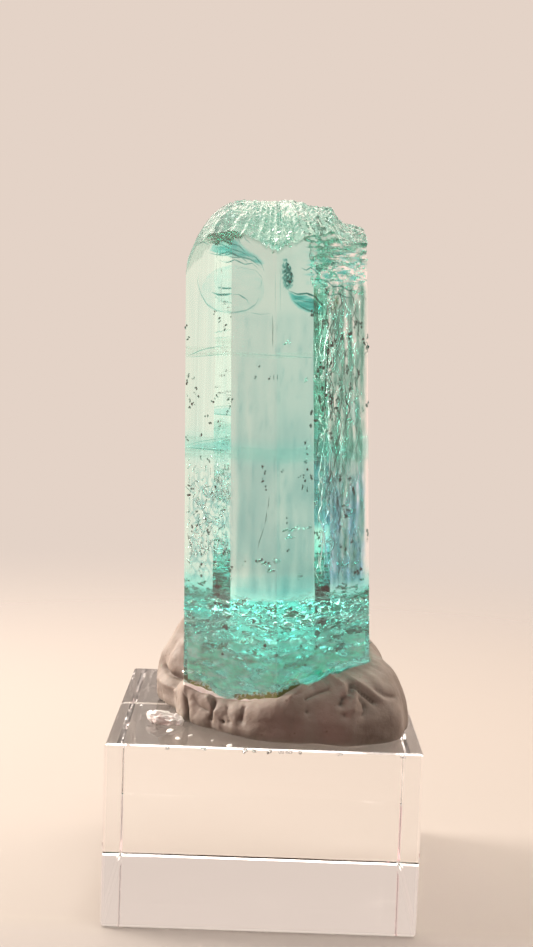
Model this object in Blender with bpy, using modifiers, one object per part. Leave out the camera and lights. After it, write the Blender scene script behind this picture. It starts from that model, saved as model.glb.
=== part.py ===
"""Aquamarine crystal, pressed upright into mineral tack on a clear acrylic block.

Run with: blender --background --python part.py

Metres, +Z up. The origin is the middle of the block's underside. The crystal is modelled in its own frame,
whose origin is where its axis meets the block's top, and is then leaned and set in place.
"""

import math

import bmesh
import bpy
from mathutils import Matrix, Vector, noise

MM = 0.001

# The block.
BLOCK_SIDE = 32.0 * MM
BLOCK_HEIGHT = 19.0 * MM
BLOCK_EDGE = 0.35 * MM

# The crystal, a hexagonal prism that turns one of its edges to the front.
PRISM_HALF_WIDTH = 9.55 * MM  # to each of the two side faces, at middle height
PRISM_FRONT = -12.5 * MM  # the front edge
PRISM_BACK = 12.5 * MM  # the back edge
BACK_EDGE_X = -0.5 * MM  # the back edge is a little off the middle
FACE_SLOPE = math.tan(math.radians(30))  # how fast the front and back faces fall away
PRISM_MIDDLE = 25.75 * MM  # height where the section has its nominal size
TAPER = 1.11  # share of the section lost for each metre of height
LEAN = math.radians(2.0)  # towards -X
STANDS_AT = Vector((1.24 * MM, 0.0, BLOCK_HEIGHT))

# The etched dome on top, in the crystal's frame. From its crest it falls to each side by an amount, which it
# reaches at a distance, along a curve of a power.
DOME_TOP = 55.2 * MM
DOME_CREST = Vector((0.0, 1.0 * MM))
DOME_FALLS = {
    "left": (6.2 * MM, 9.6 * MM, 4.6),
    "right": (2.0 * MM, 9.6 * MM, 1.7),
    "front": (5.9 * MM, 13.5 * MM, 2.4),
    "back": (3.8 * MM, 11.5 * MM, 2.0),
}
DOME_STEP = 1.1 * MM  # a step down near the right-hand edge
DOME_STEP_FROM, DOME_STEP_TO = 5.8 * MM, 7.0 * MM
RIDGE_HEIGHT = 0.45 * MM  # etched ridges, which run down the dome's slope
RIDGES_AROUND = 5.0
LUMP_HEIGHT = 0.4 * MM
LUMP_SIZE = 2.6 * MM

# The broken foot, which climbs to the right and has a chipped corner on the left.
FOOT_LOW = 3.5 * MM
FOOT_CLIMB = 3.2 * MM
FOOT_CLIMB_FROM, FOOT_CLIMB_TO = -5.5 * MM, 10.0 * MM
CORNER_CHIP = 0.9 * MM
CORNER_CHIP_FROM, CORNER_CHIP_TO = -5.0 * MM, -9.5 * MM
FOOT_ROUGHNESS = 0.35 * MM
FOOT_ROUGH_SIZE = 4.0 * MM

# The tack. Its rim, anticlockwise from +X in degrees: how far it reaches from its middle on the block, how
# high it climbs the crystal's wall, and how hollow its flank is (1 is a round bulge, 2 a straighter slope).
TACK_MIDDLE = Vector((1.0 * MM, 0.0))
TACK_RIM = (
    (0.0, 13.0 * MM, 8.4 * MM, 1.8),
    (22.0, 13.6 * MM, 7.8 * MM, 1.8),
    (45.0, 13.6 * MM, 5.0 * MM, 1.5),
    (70.0, 14.0 * MM, 3.8 * MM, 1.2),
    (92.0, 14.4 * MM, 3.6 * MM, 1.1),
    (115.0, 14.2 * MM, 3.8 * MM, 1.2),
    (138.0, 14.4 * MM, 6.2 * MM, 1.6),
    (154.0, 14.2 * MM, 9.0 * MM, 2.0),
    (168.0, 13.4 * MM, 9.6 * MM, 2.0),
    (180.0, 12.3 * MM, 8.0 * MM, 1.6),
    (195.0, 11.1 * MM, 5.2 * MM, 1.2),
    (216.0, 12.4 * MM, 4.0 * MM, 1.0),
    (232.0, 11.8 * MM, 3.3 * MM, 1.0),
    (252.0, 12.8 * MM, 3.5 * MM, 1.0),
    (270.0, 13.9 * MM, 4.3 * MM, 0.9),
    (284.0, 14.3 * MM, 5.2 * MM, 0.9),
    (300.0, 16.4 * MM, 6.1 * MM, 0.9),
    (317.0, 17.4 * MM, 6.9 * MM, 0.9),
    (330.0, 16.0 * MM, 7.4 * MM, 1.0),
    (345.0, 13.8 * MM, 7.9 * MM, 1.4),
    (360.0, 13.0 * MM, 8.4 * MM, 1.8),
)
TACK_EDGE = 0.9 * MM  # height of the widest line of the rolled edge
TACK_TUCK = 0.5 * MM  # how far the edge rolls in under it
WALL_SHARE = 0.6  # of the way from the edge to the top, where the crystal's wall is
EDGE_SHARE = 0.25  # of the way down, where the underside turns flat
DENT_DEPTH = 0.5 * MM
DENTS_AROUND = 3.0
GAP = 0.3 * MM  # between touching pieces

# The crumb of tack.
CRUMB_SIZE = Vector((3.6, 1.2, 0.7)) * MM
CRUMB_CURL = 0.45 * MM
CRUMB_RISE = 0.5 * MM  # its free tip stands up from the block
CRUMB_UNDERSIDE = 0.25 * MM
CRUMB_TURN = math.radians(-24)
CRUMB_MIDDLE = Vector((-10.6 * MM, -7.9 * MM))

# How finely the pieces are divided.
CORNERS = 6
FACE_SEGMENTS = 12
DOME_RINGS = 13
FOOT_RINGS = 5
TACK_AROUND, TACK_UP = 66, 26
CRUMB_AROUND, CRUMB_UP = 16, 10


def start_scene():
    for found in list(bpy.data.objects):
        bpy.data.objects.remove(found)
    pieces = bpy.data.collections.new("aquamarine_specimen")
    cutters = bpy.data.collections.new("cutters")
    for collection in (pieces, cutters):
        bpy.context.scene.collection.children.link(collection)
    return pieces, cutters


def make_material(name, colour, roughness, transmission=0.0, ior=1.5):
    material = bpy.data.materials.new(name)
    material.use_nodes = True
    shader = material.node_tree.nodes["Principled BSDF"]
    shader.inputs["Base Color"].default_value = (*colour, 1.0)
    shader.inputs["Roughness"].default_value = roughness
    shader.inputs["Metallic"].default_value = 0.0
    shader.inputs["Transmission Weight"].default_value = transmission
    shader.inputs["IOR"].default_value = ior
    return material


def add_object(name, bm, collection, material=None):
    """Makes an object of the bmesh, with its faces pointing out."""
    bmesh.ops.recalc_face_normals(bm, faces=bm.faces)
    mesh = bpy.data.meshes.new(name)
    bm.to_mesh(mesh)
    bm.free()
    made = bpy.data.objects.new(name, mesh)
    collection.objects.link(made)
    if material:
        mesh.materials.append(material)
    return made


def smooth(start, end, value):
    """0 at the start and before it, 1 at the end and past it, and an S-curve between."""
    share = min(1.0, max(0.0, (value - start) / (end - start)))
    return share * share * (3.0 - 2.0 * share)


# ---------------------------------------------------------------- crystal


def prism_corners():
    """The section's six corners at nominal size, from the front edge anticlockwise."""
    half = PRISM_HALF_WIDTH
    front_shoulder = PRISM_FRONT + FACE_SLOPE * half
    return [
        Vector((0.0, PRISM_FRONT)),
        Vector((half, front_shoulder)),
        Vector((half, PRISM_BACK - FACE_SLOPE * (half - BACK_EDGE_X))),
        Vector((BACK_EDGE_X, PRISM_BACK)),
        Vector((-half, PRISM_BACK - FACE_SLOPE * (half + BACK_EDGE_X))),
        Vector((-half, front_shoulder)),
    ]


def reach_along(corners, way):
    """Distance from the origin to a convex outline, given anticlockwise, in a direction."""
    reaches = []
    for start, end in zip(corners, corners[1:] + corners[:1]):
        outward = Vector((end.y - start.y, start.x - end.x))
        if outward.dot(way) > 0.0:
            reaches.append(outward.dot(start) / outward.dot(way))
    return min(reaches)


def section_scale(height):
    return 1.0 - TAPER * (height - PRISM_MIDDLE)


def fall(side, distance):
    amount, reach, power = DOME_FALLS[side]
    return amount * (abs(distance) / reach) ** power


def dome_height(x, y):
    """Height of the etched termination over a point of the section."""
    away = Vector((x, y)) - DOME_CREST
    height = DOME_TOP
    height -= fall("left" if away.x < 0.0 else "right", away.x)
    height -= fall("front" if away.y < 0.0 else "back", away.y)
    height -= DOME_STEP * smooth(DOME_STEP_FROM, DOME_STEP_TO, x)
    turn = math.atan2(y, x)
    reach = math.hypot(x, y) / PRISM_BACK
    around = Vector((math.cos(turn), math.sin(turn), 0.0)) * RIDGES_AROUND
    height += RIDGE_HEIGHT * reach * noise.noise(around)
    return height + LUMP_HEIGHT * noise.noise(Vector((x, y, 0.0)) / LUMP_SIZE)


def foot_height(x, y):
    """Height of the broken lower end over a point of the section."""
    height = FOOT_LOW + FOOT_CLIMB * smooth(FOOT_CLIMB_FROM, FOOT_CLIMB_TO, x)
    height += CORNER_CHIP * smooth(CORNER_CHIP_FROM, CORNER_CHIP_TO, x)
    return height + FOOT_ROUGHNESS * noise.noise(Vector((x, y, FOOT_LOW)) / FOOT_ROUGH_SIZE)


def step_around(vert, count):
    """Which of the count evenly spaced places around the axis a vertex of a Blender circle has."""
    turn = math.atan2(vert.co.y, vert.co.x) - math.pi / 2.0
    return round(turn / (2.0 * math.pi) * count) % count


def shape_ring(verts, share, height_at, grow):
    """Sets a ring's vertices on a surface over the section, each in its own direction from the axis."""
    corners = prism_corners()
    for vert in verts:
        way = vert.co.xy.normalized()
        flat = way * reach_along(corners, way) * share
        height = height_at(flat.x, flat.y)
        flat *= section_scale(height) * grow
        vert.co = (flat.x, flat.y, height)


def close_inwards(bm, edges, rings, height_at, grow):
    """Covers the space inside a rim with rings that shrink to the middle and follow a surface."""
    for ring in range(rings, 0, -1):
        grown = bmesh.ops.extrude_edge_only(bm, edges=edges)["geom"]
        edges = [g for g in grown if isinstance(g, bmesh.types.BMEdge)]
        verts = [g for g in grown if isinstance(g, bmesh.types.BMVert)]
        shape_ring(verts, ring / (rings + 1), height_at, grow)
    bmesh.ops.pointmerge(bm, verts=verts, merge_co=(0.0, 0.0, height_at(0.0, 0.0)))


def lofted_prism(foot_at, top_at, top_rings, grow=1.0):
    """The hexagonal prism between two surfaces, its corners on vertices."""
    bm = bmesh.new()
    around = CORNERS * FACE_SEGMENTS
    corners = prism_corners()
    circle = bmesh.ops.create_circle(bm, segments=around, radius=1.0)["verts"]
    for vert in circle:
        face, along = divmod(step_around(vert, around), FACE_SEGMENTS)
        flat = corners[face].lerp(corners[(face + 1) % CORNERS], along / FACE_SEGMENTS)
        vert.co = (flat.x, flat.y, 0.0)
    foot_rim = list(bm.edges)
    grown = bmesh.ops.extrude_edge_only(bm, edges=foot_rim)["geom"]
    top_rim = [g for g in grown if isinstance(g, bmesh.types.BMEdge)]
    shape_ring(circle, 1.0, foot_at, grow)
    shape_ring([g for g in grown if isinstance(g, bmesh.types.BMVert)], 1.0, top_at, grow)
    close_inwards(bm, foot_rim, FOOT_RINGS, foot_at, grow)
    close_inwards(bm, top_rim, top_rings, top_at, grow)
    return bm


def stand(thing):
    """Leans something of the crystal's frame and sets it in place."""
    thing.location = STANDS_AT
    thing.rotation_euler = (0.0, -LEAN, 0.0)


def build_crystal(collection, material):
    bm = lofted_prism(foot_height, dome_height, DOME_RINGS)
    stand(add_object("aquamarine_crystal", bm, collection, material))


def build_socket_cutter(collection):
    """The crystal's foot grown by the gap, which is the space it fills in the tack."""
    grow = 1.0 + GAP / (PRISM_HALF_WIDTH * 0.9)  # the front and back faces are a little nearer than the edges
    middle = lambda x, y: PRISM_MIDDLE
    bm = lofted_prism(lambda x, y: foot_height(x, y) - GAP, middle, 1, grow)
    cutter = add_object("socket_cutter", bm, collection)
    stand(cutter)
    cutter.hide_render = True
    cutter.display_type = "WIRE"
    return cutter


# ------------------------------------------------------------------- tack


def tack_rim(turn):
    """(reach, climb, hollow) of the tack in a direction, eased between the rows of its table."""
    degrees = math.degrees(turn) % 360.0
    for (start, *before), (end, *after) in zip(TACK_RIM, TACK_RIM[1:]):
        if start <= degrees <= end:
            share = smooth(start, end, degrees)
            return [a + (b - a) * share for a, b in zip(before, after)]
    return TACK_RIM[0][1:]


def wall_reach(turn):
    """Distance from the tack's middle to the crystal's wall in a direction."""
    foot = section_scale(FOOT_LOW)
    corners = [c * foot + STANDS_AT.xy - TACK_MIDDLE for c in prism_corners()]
    return reach_along(corners, Vector((math.cos(turn), math.sin(turn))))


def tack_point(turn, up):
    """A point of the lump, in a direction and at a share of the way from its underside (-1) to its top (1)."""
    reach, climb, hollow = tack_rim(turn)
    wall = wall_reach(turn)
    if up > WALL_SHARE:
        out = wall * (1.0 - up) / (1.0 - WALL_SHARE)
        height = climb
    elif up > 0.0:
        rise = math.radians(90.0) * up / WALL_SHARE
        out = wall + (reach - wall) * math.cos(rise) ** hollow
        height = TACK_EDGE + (climb - TACK_EDGE) * math.sin(rise)
    elif up > -EDGE_SHARE:
        tuck = -up / EDGE_SHARE
        out = reach - TACK_TUCK * tuck**2
        height = TACK_EDGE * (1.0 - tuck)
    else:
        out = (reach - TACK_TUCK) * (1.0 + up) / (1.0 - EDGE_SHARE)
        height = 0.0
    dent = noise.noise(Vector((math.cos(turn), math.sin(turn), up)) * DENTS_AROUND)
    out += DENT_DEPTH * dent * min(1.0, height / TACK_EDGE)
    return TACK_MIDDLE.x + out * math.cos(turn), TACK_MIDDLE.y + out * math.sin(turn), height


def build_tack(collection, material, socket):
    """A pressed lump, which climbs the crystal's wall and lies flat on the block."""
    bm = bmesh.new()
    bmesh.ops.create_uvsphere(bm, u_segments=TACK_AROUND, v_segments=TACK_UP, radius=1.0)
    for vert in bm.verts:
        turn = math.atan2(vert.co.y, vert.co.x)
        up = math.asin(max(-1.0, min(1.0, vert.co.z))) / math.radians(90.0)
        x, y, height = tack_point(turn, up)
        vert.co = (x, y, BLOCK_HEIGHT + GAP + height)
    tack = add_object("mineral_tack", bm, collection, material)
    cut = tack.modifiers.new("socket", "BOOLEAN")
    cut.operation = "DIFFERENCE"
    cut.object = socket


def build_tack_crumb(collection, material):
    """A torn curl of tack that lies on the block beside the lump."""
    bm = bmesh.new()
    bmesh.ops.create_uvsphere(bm, u_segments=CRUMB_AROUND, v_segments=CRUMB_UP, radius=0.5)
    bmesh.ops.scale(bm, vec=CRUMB_SIZE, verts=bm.verts)
    for vert in bm.verts:
        along = vert.co.x / CRUMB_SIZE.x  # -0.5 at the free tip, 0.5 at the thick end
        vert.co.y *= 1.0 + 0.9 * along
        vert.co.y += CRUMB_CURL * math.sin(5.0 * along)
        vert.co.z += CRUMB_RISE * (0.5 - along) ** 2
        vert.co.z = max(vert.co.z, -CRUMB_UNDERSIDE)
    bmesh.ops.rotate(bm, cent=(0, 0, 0), matrix=Matrix.Rotation(CRUMB_TURN, 3, "Z"), verts=bm.verts)
    crumb = add_object("tack_crumb", bm, collection, material)
    crumb.location = (*CRUMB_MIDDLE, BLOCK_HEIGHT + GAP + CRUMB_UNDERSIDE)


# ------------------------------------------------------------------ block


def build_block(collection, material):
    bm = bmesh.new()
    bmesh.ops.create_cube(bm, size=1.0)
    bmesh.ops.scale(bm, vec=(BLOCK_SIDE, BLOCK_SIDE, BLOCK_HEIGHT), verts=bm.verts)
    bmesh.ops.translate(bm, vec=(0.0, 0.0, BLOCK_HEIGHT / 2.0), verts=bm.verts)
    block = add_object("acrylic_block", bm, collection, material)
    edge = block.modifiers.new("polished_edges", "BEVEL")
    edge.width = BLOCK_EDGE
    edge.segments = 2


def main():
    pieces, cutters = start_scene()
    aquamarine = make_material("aquamarine", (0.62, 0.90, 0.82), 0.02, 1.0, 1.577)
    putty = make_material("mineral_tack", (0.72, 0.66, 0.58), 0.75)
    acrylic = make_material("clear_acrylic", (0.98, 0.98, 0.98), 0.02, 1.0, 1.49)
    build_block(pieces, acrylic)
    build_crystal(pieces, aquamarine)
    build_tack(pieces, putty, build_socket_cutter(cutters))
    build_tack_crumb(pieces, putty)


main()
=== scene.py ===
"""The looks of an aquamarine crystal that stands in mineral tack on a clear acrylic block.

Metres, +Z up. The crystal and what is sealed in it are shaped in the crystal's own frame, whose origin is where
its axis meets the block's top, and are then leaned and set in place with STAND.
"""

import math
import random

import bmesh
import bpy
from mathutils import Matrix, Vector, noise


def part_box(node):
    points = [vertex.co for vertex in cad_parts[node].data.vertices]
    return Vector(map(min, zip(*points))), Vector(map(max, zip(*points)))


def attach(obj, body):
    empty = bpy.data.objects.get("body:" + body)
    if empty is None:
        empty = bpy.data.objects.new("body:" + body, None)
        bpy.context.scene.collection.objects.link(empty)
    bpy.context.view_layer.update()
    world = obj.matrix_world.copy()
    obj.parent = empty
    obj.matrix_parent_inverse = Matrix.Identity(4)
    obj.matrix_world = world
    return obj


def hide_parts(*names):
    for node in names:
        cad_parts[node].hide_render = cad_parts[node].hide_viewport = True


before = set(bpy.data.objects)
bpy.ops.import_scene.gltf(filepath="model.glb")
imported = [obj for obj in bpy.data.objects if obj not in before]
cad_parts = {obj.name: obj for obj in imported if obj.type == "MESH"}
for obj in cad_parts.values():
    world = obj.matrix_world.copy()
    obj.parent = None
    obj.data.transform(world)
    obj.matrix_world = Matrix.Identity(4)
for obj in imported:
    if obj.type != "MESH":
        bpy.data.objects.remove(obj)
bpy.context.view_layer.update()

MM = 0.001

# ------------------------------------------------------------ the shapes' driving sizes

BLOCK_LOW, BLOCK_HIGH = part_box("acrylic_block")
BLOCK_SIDE = BLOCK_HIGH.x - BLOCK_LOW.x
BLOCK_TOP = BLOCK_HIGH.z
BLOCK_EDGE = 0.3 * MM

PRISM_HALF_WIDTH = 9.55 * MM  # to each of the two side faces, at middle height
PRISM_FRONT = -12.5 * MM
PRISM_BACK = 12.5 * MM
BACK_EDGE_X = -0.5 * MM
FACE_SLOPE = math.tan(math.radians(30))
PRISM_MIDDLE = 25.75 * MM
TAPER = 1.11
LEAN = math.radians(2.0)
STANDS_AT = Vector((1.24 * MM, 0.0, BLOCK_TOP))
STAND = Matrix.Translation(STANDS_AT) @ Matrix.Rotation(-LEAN, 4, "Y")

DOME_TOP = 55.2 * MM
DOME_CREST = Vector((0.0, 1.0 * MM))
DOME_FALLS = {
    "left": (6.2 * MM, 9.6 * MM, 4.6),
    "right": (2.0 * MM, 9.6 * MM, 1.7),
    "front": (5.9 * MM, 13.5 * MM, 2.4),
    "back": (3.8 * MM, 11.5 * MM, 2.0),
}
DOME_STEP = 1.1 * MM
DOME_STEP_FROM, DOME_STEP_TO = 5.8 * MM, 7.0 * MM

FOOT_LOW = 3.5 * MM
FOOT_CLIMB = 3.2 * MM
FOOT_CLIMB_FROM, FOOT_CLIMB_TO = -5.5 * MM, 10.0 * MM
CORNER_CHIP = 0.9 * MM
CORNER_CHIP_FROM, CORNER_CHIP_TO = -5.0 * MM, -9.5 * MM

TACK_MIDDLE = Vector((1.0 * MM, 0.0))
TACK_RIM = (  # degrees, reach (mm), climb (mm), hollow of the flank
    (0, 13.0, 8.4, 1.8),
    (22, 13.6, 7.8, 1.8),
    (45, 13.6, 5.0, 1.5),
    (70, 14.0, 3.8, 1.2),
    (92, 14.4, 3.6, 1.1),
    (115, 14.2, 3.8, 1.2),
    (138, 14.4, 6.2, 1.6),
    (154, 14.2, 9.0, 2.0),
    (168, 13.4, 9.6, 2.0),
    (180, 12.3, 8.0, 1.6),
    (195, 11.1, 5.2, 1.2),
    (216, 12.4, 4.0, 1.0),
    (232, 11.8, 3.3, 1.0),
    (252, 12.8, 3.5, 1.0),
    (270, 13.9, 4.3, 0.9),
    (284, 14.3, 5.2, 0.9),
    (300, 16.4, 6.1, 0.9),
    (317, 17.4, 6.9, 0.9),
    (330, 16.0, 7.4, 1.0),
    (345, 13.8, 7.9, 1.4),
    (360, 13.0, 8.4, 1.8),
)
TACK_EDGE = 0.9 * MM  # height of the widest line of the rolled edge
TACK_TUCK = 0.5 * MM  # how far the edge rolls in under it
TACK_GAP = 0.05 * MM  # between the tack and what it touches

CORNERS = 6
BERYL_IOR = 1.577
ACRYLIC_IOR = 1.49

# --------------------------------------------------------------------- small helpers


def smooth(start, end, value):
    """0 at the start and before it, 1 at the end and past it, and an S-curve between."""
    share = min(1.0, max(0.0, (value - start) / (end - start)))
    return share * share * (3.0 - 2.0 * share)


def add_piece(name, bm, material, sharp=None):
    """Makes a piece of the bmesh, which rides on the specimen."""
    mesh = bpy.data.meshes.new(name)
    bm.to_mesh(mesh)
    bm.free()
    mesh.materials.append(material)
    mesh.shade_smooth()
    if sharp is not None:
        mesh.set_sharp_from_angle(angle=math.radians(sharp))
    piece = bpy.data.objects.new(name, mesh)
    bpy.context.scene.collection.objects.link(piece)
    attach(piece, "root")
    return piece


def step_around(vert, count):
    """Which of the count evenly spaced places around the axis a vertex of a Blender circle has."""
    turn = math.atan2(vert.co.y, vert.co.x) - math.pi / 2.0
    return round(turn / (2.0 * math.pi) * count) % count


def lofted(around, rows, place):
    """A closed skin of rings round an axis. place(step, row) is where each vertex goes, and the first and last
    rows are single points."""
    bm = bmesh.new()
    step_layer = bm.verts.layers.int.new("step")
    ring = bmesh.ops.create_circle(bm, segments=around, radius=1.0)["verts"]
    for vert in ring:
        vert[step_layer] = step_around(vert, around)
    edges = first = list(bm.edges)
    for row in range(1, rows - 1):
        if row > 1:
            grown = bmesh.ops.extrude_edge_only(bm, edges=edges)["geom"]
            edges = [g for g in grown if isinstance(g, bmesh.types.BMEdge)]
            ring = [g for g in grown if isinstance(g, bmesh.types.BMVert)]
        for vert in ring:
            vert.co = place(vert[step_layer], row)
    for edges, row in ((first, 0), (edges, rows - 1)):
        cap = bmesh.ops.extrude_edge_only(bm, edges=edges)["geom"]
        cap = [g for g in cap if isinstance(g, bmesh.types.BMVert)]
        bmesh.ops.pointmerge(bm, verts=cap, merge_co=place(0, row))
    bm.verts.layers.int.remove(bm.verts.layers.int["step"])
    bmesh.ops.recalc_face_normals(bm, faces=bm.faces)
    return bm


def gather(bm, part):
    """Adds a small mesh to the one that collects its kind."""
    spare = bpy.data.meshes.new("spare")
    part.to_mesh(spare)
    part.free()
    bm.from_mesh(spare)
    bpy.data.meshes.remove(spare)


# --------------------------------------------------------------------------- materials


def new_material(name):
    material = bpy.data.materials.new(name)
    material.use_nodes = True
    return material, material.node_tree, material.node_tree.nodes["Principled BSDF"]


def absorb(tree, colour, density):
    """Plain absorption through the body of a piece."""
    volume = tree.nodes.new("ShaderNodeVolumeAbsorption")
    volume.inputs["Color"].default_value = (*colour, 1.0)
    volume.inputs["Density"].default_value = density
    tree.links.new(volume.outputs["Volume"], tree.nodes["Material Output"].inputs["Volume"])


def add_noise(tree, vector, grain, detail=3.0, stretch=None):
    """A noise's value at a grain's size, on a vector or on Object coordinates stretched by a Mapping node."""
    if stretch is not None:
        mapping = tree.nodes.new("ShaderNodeMapping")
        mapping.inputs["Rotation"].default_value = (0.0, LEAN, 0.0)
        mapping.inputs["Scale"].default_value = stretch
        tree.links.new(vector, mapping.inputs["Vector"])
        vector = mapping.outputs["Vector"]
    texture = tree.nodes.new("ShaderNodeTexNoise")
    texture.inputs["Scale"].default_value = 1.0 / grain
    texture.inputs["Detail"].default_value = detail
    tree.links.new(vector, texture.inputs["Vector"])
    return texture.outputs["Fac"]


def remap(tree, value, old, new):
    node = tree.nodes.new("ShaderNodeMapRange")
    node.inputs["From Min"].default_value, node.inputs["From Max"].default_value = old
    node.inputs["To Min"].default_value, node.inputs["To Max"].default_value = new
    tree.links.new(value, node.inputs["Value"])
    return node.outputs["Result"]


def calculate(tree, operation, first, second):
    node = tree.nodes.new("ShaderNodeMath")
    node.operation = operation
    for socket, value in zip(node.inputs, (first, second)):
        if isinstance(value, float):
            socket.default_value = value
        else:
            tree.links.new(value, socket)
    return node.outputs["Value"]


def mix_colours(tree, share, first, second):
    node = tree.nodes.new("ShaderNodeMix")
    node.data_type = "RGBA"
    tree.links.new(share, node.inputs["Factor"])
    for socket, value in ((node.inputs[6], first), (node.inputs[7], second)):
        if isinstance(value, tuple):
            socket.default_value = (*value, 1.0)
        else:
            tree.links.new(value, socket)
    return node.outputs[2]


def add_bump(tree, height, distance, below=None):
    node = tree.nodes.new("ShaderNodeBump")
    node.inputs["Distance"].default_value = distance
    tree.links.new(height, node.inputs["Height"])
    if below is not None:
        tree.links.new(below, node.inputs["Normal"])
    return node.outputs["Normal"]


def object_coordinates(tree):
    return tree.nodes.new("ShaderNodeTexCoord").outputs["Object"]


def painted(tree, name):
    """The value of a piece's own attribute."""
    node = tree.nodes.new("ShaderNodeAttribute")
    node.attribute_name = name
    return node.outputs["Fac"]


def make_beryl():
    """Clear beryl: frosted, and tinted with painted shade, where it is etched; growth lines down its faces, and earth
    on its broken foot.
    """
    material, tree, shader = new_material("aquamarine")
    shader.inputs["IOR"].default_value = BERYL_IOR
    absorb(tree, (0.0, 0.965, 0.79), 19.0)
    coords = object_coordinates(tree)
    etched, rippled, crust, broken = (painted(tree, name) for name in ("etched", "rippled", "crust", "broken"))
    frost = remap(tree, add_noise(tree, coords, 0.5 * MM), (0.35, 0.65), (0.14, 0.36))
    grit = add_noise(tree, coords, 0.25 * MM, 4.0)
    earth = remap(tree, calculate(tree, "ADD", crust, grit), (1.05, 1.2), (0.0, 1.0))
    rough = calculate(tree, "MULTIPLY", etched, frost)
    rough = calculate(tree, "MAXIMUM", rough, calculate(tree, "MULTIPLY", broken, 0.6))
    tree.links.new(calculate(tree, "MAXIMUM", rough, earth), shader.inputs["Roughness"])
    milky = calculate(tree, "MULTIPLY", broken, remap(tree, grit, (0.3, 0.6), (0.4, 0.9)))
    tree.links.new(remap(tree, calculate(tree, "MAXIMUM", earth, milky), (0.0, 1.0), (1.0, 0.0)),
                   shader.inputs["Transmission Weight"])
    soil = mix_colours(tree, grit, (0.09, 0.10, 0.035), (0.32, 0.36, 0.14))
    # the etched skin is tinted dark green: partly the crystal's colour, partly painted shade that holds back the strong
    # light on the dome
    skin_tint_and_shade = mix_colours(tree, etched, (1.0, 1.0, 1.0), (0.15, 0.46, 0.38))
    tree.links.new(mix_colours(tree, earth, skin_tint_and_shade, soil), shader.inputs["Base Color"])
    lines = add_noise(tree, coords, 0.55 * MM, 2.0, (1.0, 1.0, 0.02))
    pits = calculate(tree, "MULTIPLY", etched, add_noise(tree, coords, 0.22 * MM, 3.0))
    shelves = add_noise(tree, coords, 1.5 * MM, 2.0, (0.6, 0.6, 2.2))
    normal = add_bump(tree, lines, 0.004 * MM)
    normal = add_bump(tree, calculate(tree, "MULTIPLY", rippled, shelves), 0.22 * MM, normal)
    tree.links.new(add_bump(tree, pits, 0.03 * MM, normal), shader.inputs["Normal"])
    return material


def make_acrylic():
    """Polished acrylic with the faint haze of handling."""
    material, tree, shader = new_material("clear_acrylic")
    shader.inputs["Base Color"].default_value = (1.0, 1.0, 1.0, 1.0)
    shader.inputs["Transmission Weight"].default_value = 1.0
    shader.inputs["IOR"].default_value = ACRYLIC_IOR
    coords = object_coordinates(tree)
    haze = remap(tree, add_noise(tree, coords, 9.0 * MM, 4.0), (0.45, 0.75), (0.0, 0.07))
    tree.links.new(haze, shader.inputs["Roughness"])
    tree.links.new(add_bump(tree, add_noise(tree, coords, 6.0 * MM), 0.01 * MM), shader.inputs["Normal"])
    return material


def patchy(tree, shader, grain, seen):
    """Lets a film show only in patches: seen is its opacity in its thin and in its dense places."""
    coords = object_coordinates(tree)
    clear = tree.nodes.new("ShaderNodeBsdfTransparent")
    mix = tree.nodes.new("ShaderNodeMixShader")
    patches = remap(tree, add_noise(tree, coords, grain, 4.0), (0.42, 0.58), seen)
    tree.links.new(patches, mix.inputs["Fac"])
    tree.links.new(clear.outputs["BSDF"], mix.inputs[1])
    tree.links.new(shader.outputs["BSDF"], mix.inputs[2])
    tree.links.new(mix.outputs["Shader"], tree.nodes["Material Output"].inputs["Surface"])


def make_gas(name, roughness=0.0, grain=None):
    """What fills a healed crack or a bubble: it bends light as air does inside beryl."""
    material = bpy.data.materials.new(name)
    material.use_nodes = True
    tree = material.node_tree
    tree.nodes.remove(tree.nodes["Principled BSDF"])
    glass = tree.nodes.new("ShaderNodeBsdfGlass")
    glass.inputs["Roughness"].default_value = roughness
    glass.inputs["IOR"].default_value = 1.0 / BERYL_IOR
    if grain is None:
        tree.links.new(glass.outputs["BSDF"], tree.nodes["Material Output"].inputs["Surface"])
    else:
        patchy(tree, glass, grain, (0.0, 1.0))
    return material


def make_milk(name, colour, grain, seen):
    """A cloudy veil of tiny bubbles, which scatters what passes."""
    material, tree, shader = new_material(name)
    shader.inputs["Base Color"].default_value = (*colour, 1.0)
    shader.inputs["Roughness"].default_value = 0.6
    shader.inputs["IOR"].default_value = 1.2
    shader.inputs["Transmission Weight"].default_value = 0.5
    patchy(tree, shader, grain, seen)
    return material


def make_film(name, colour, roughness, opacity, grain):
    """A thin glossy film, patchy at a grain's size."""
    material, tree, shader = new_material(name)
    shader.inputs["Base Color"].default_value = (*colour, 1.0)
    shader.inputs["Metallic"].default_value = 1.0
    shader.inputs["Roughness"].default_value = roughness
    patches = remap(tree, add_noise(tree, object_coordinates(tree), grain, 4.0), (0.35, 0.65), opacity)
    tree.links.new(patches, shader.inputs["Alpha"])
    return material


def make_colour_zone(name, colour, density):
    """Only colours the light that passes: its surface is not there."""
    material = bpy.data.materials.new(name)
    material.use_nodes = True
    tree = material.node_tree
    tree.nodes.remove(tree.nodes["Principled BSDF"])
    clear = tree.nodes.new("ShaderNodeBsdfTransparent")
    tree.links.new(clear.outputs["BSDF"], tree.nodes["Material Output"].inputs["Surface"])
    absorb(tree, colour, density)
    return material


def make_mineral(name, colour, roughness, seen):
    """A dark filling, denser in some places than in others."""
    material, tree, shader = new_material(name)
    shader.inputs["Base Color"].default_value = (*colour, 1.0)
    shader.inputs["Roughness"].default_value = roughness
    density = remap(tree, add_noise(tree, object_coordinates(tree), 0.5 * MM), (0.35, 0.65), seen)
    tree.links.new(density, shader.inputs["Alpha"])
    return material


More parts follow.
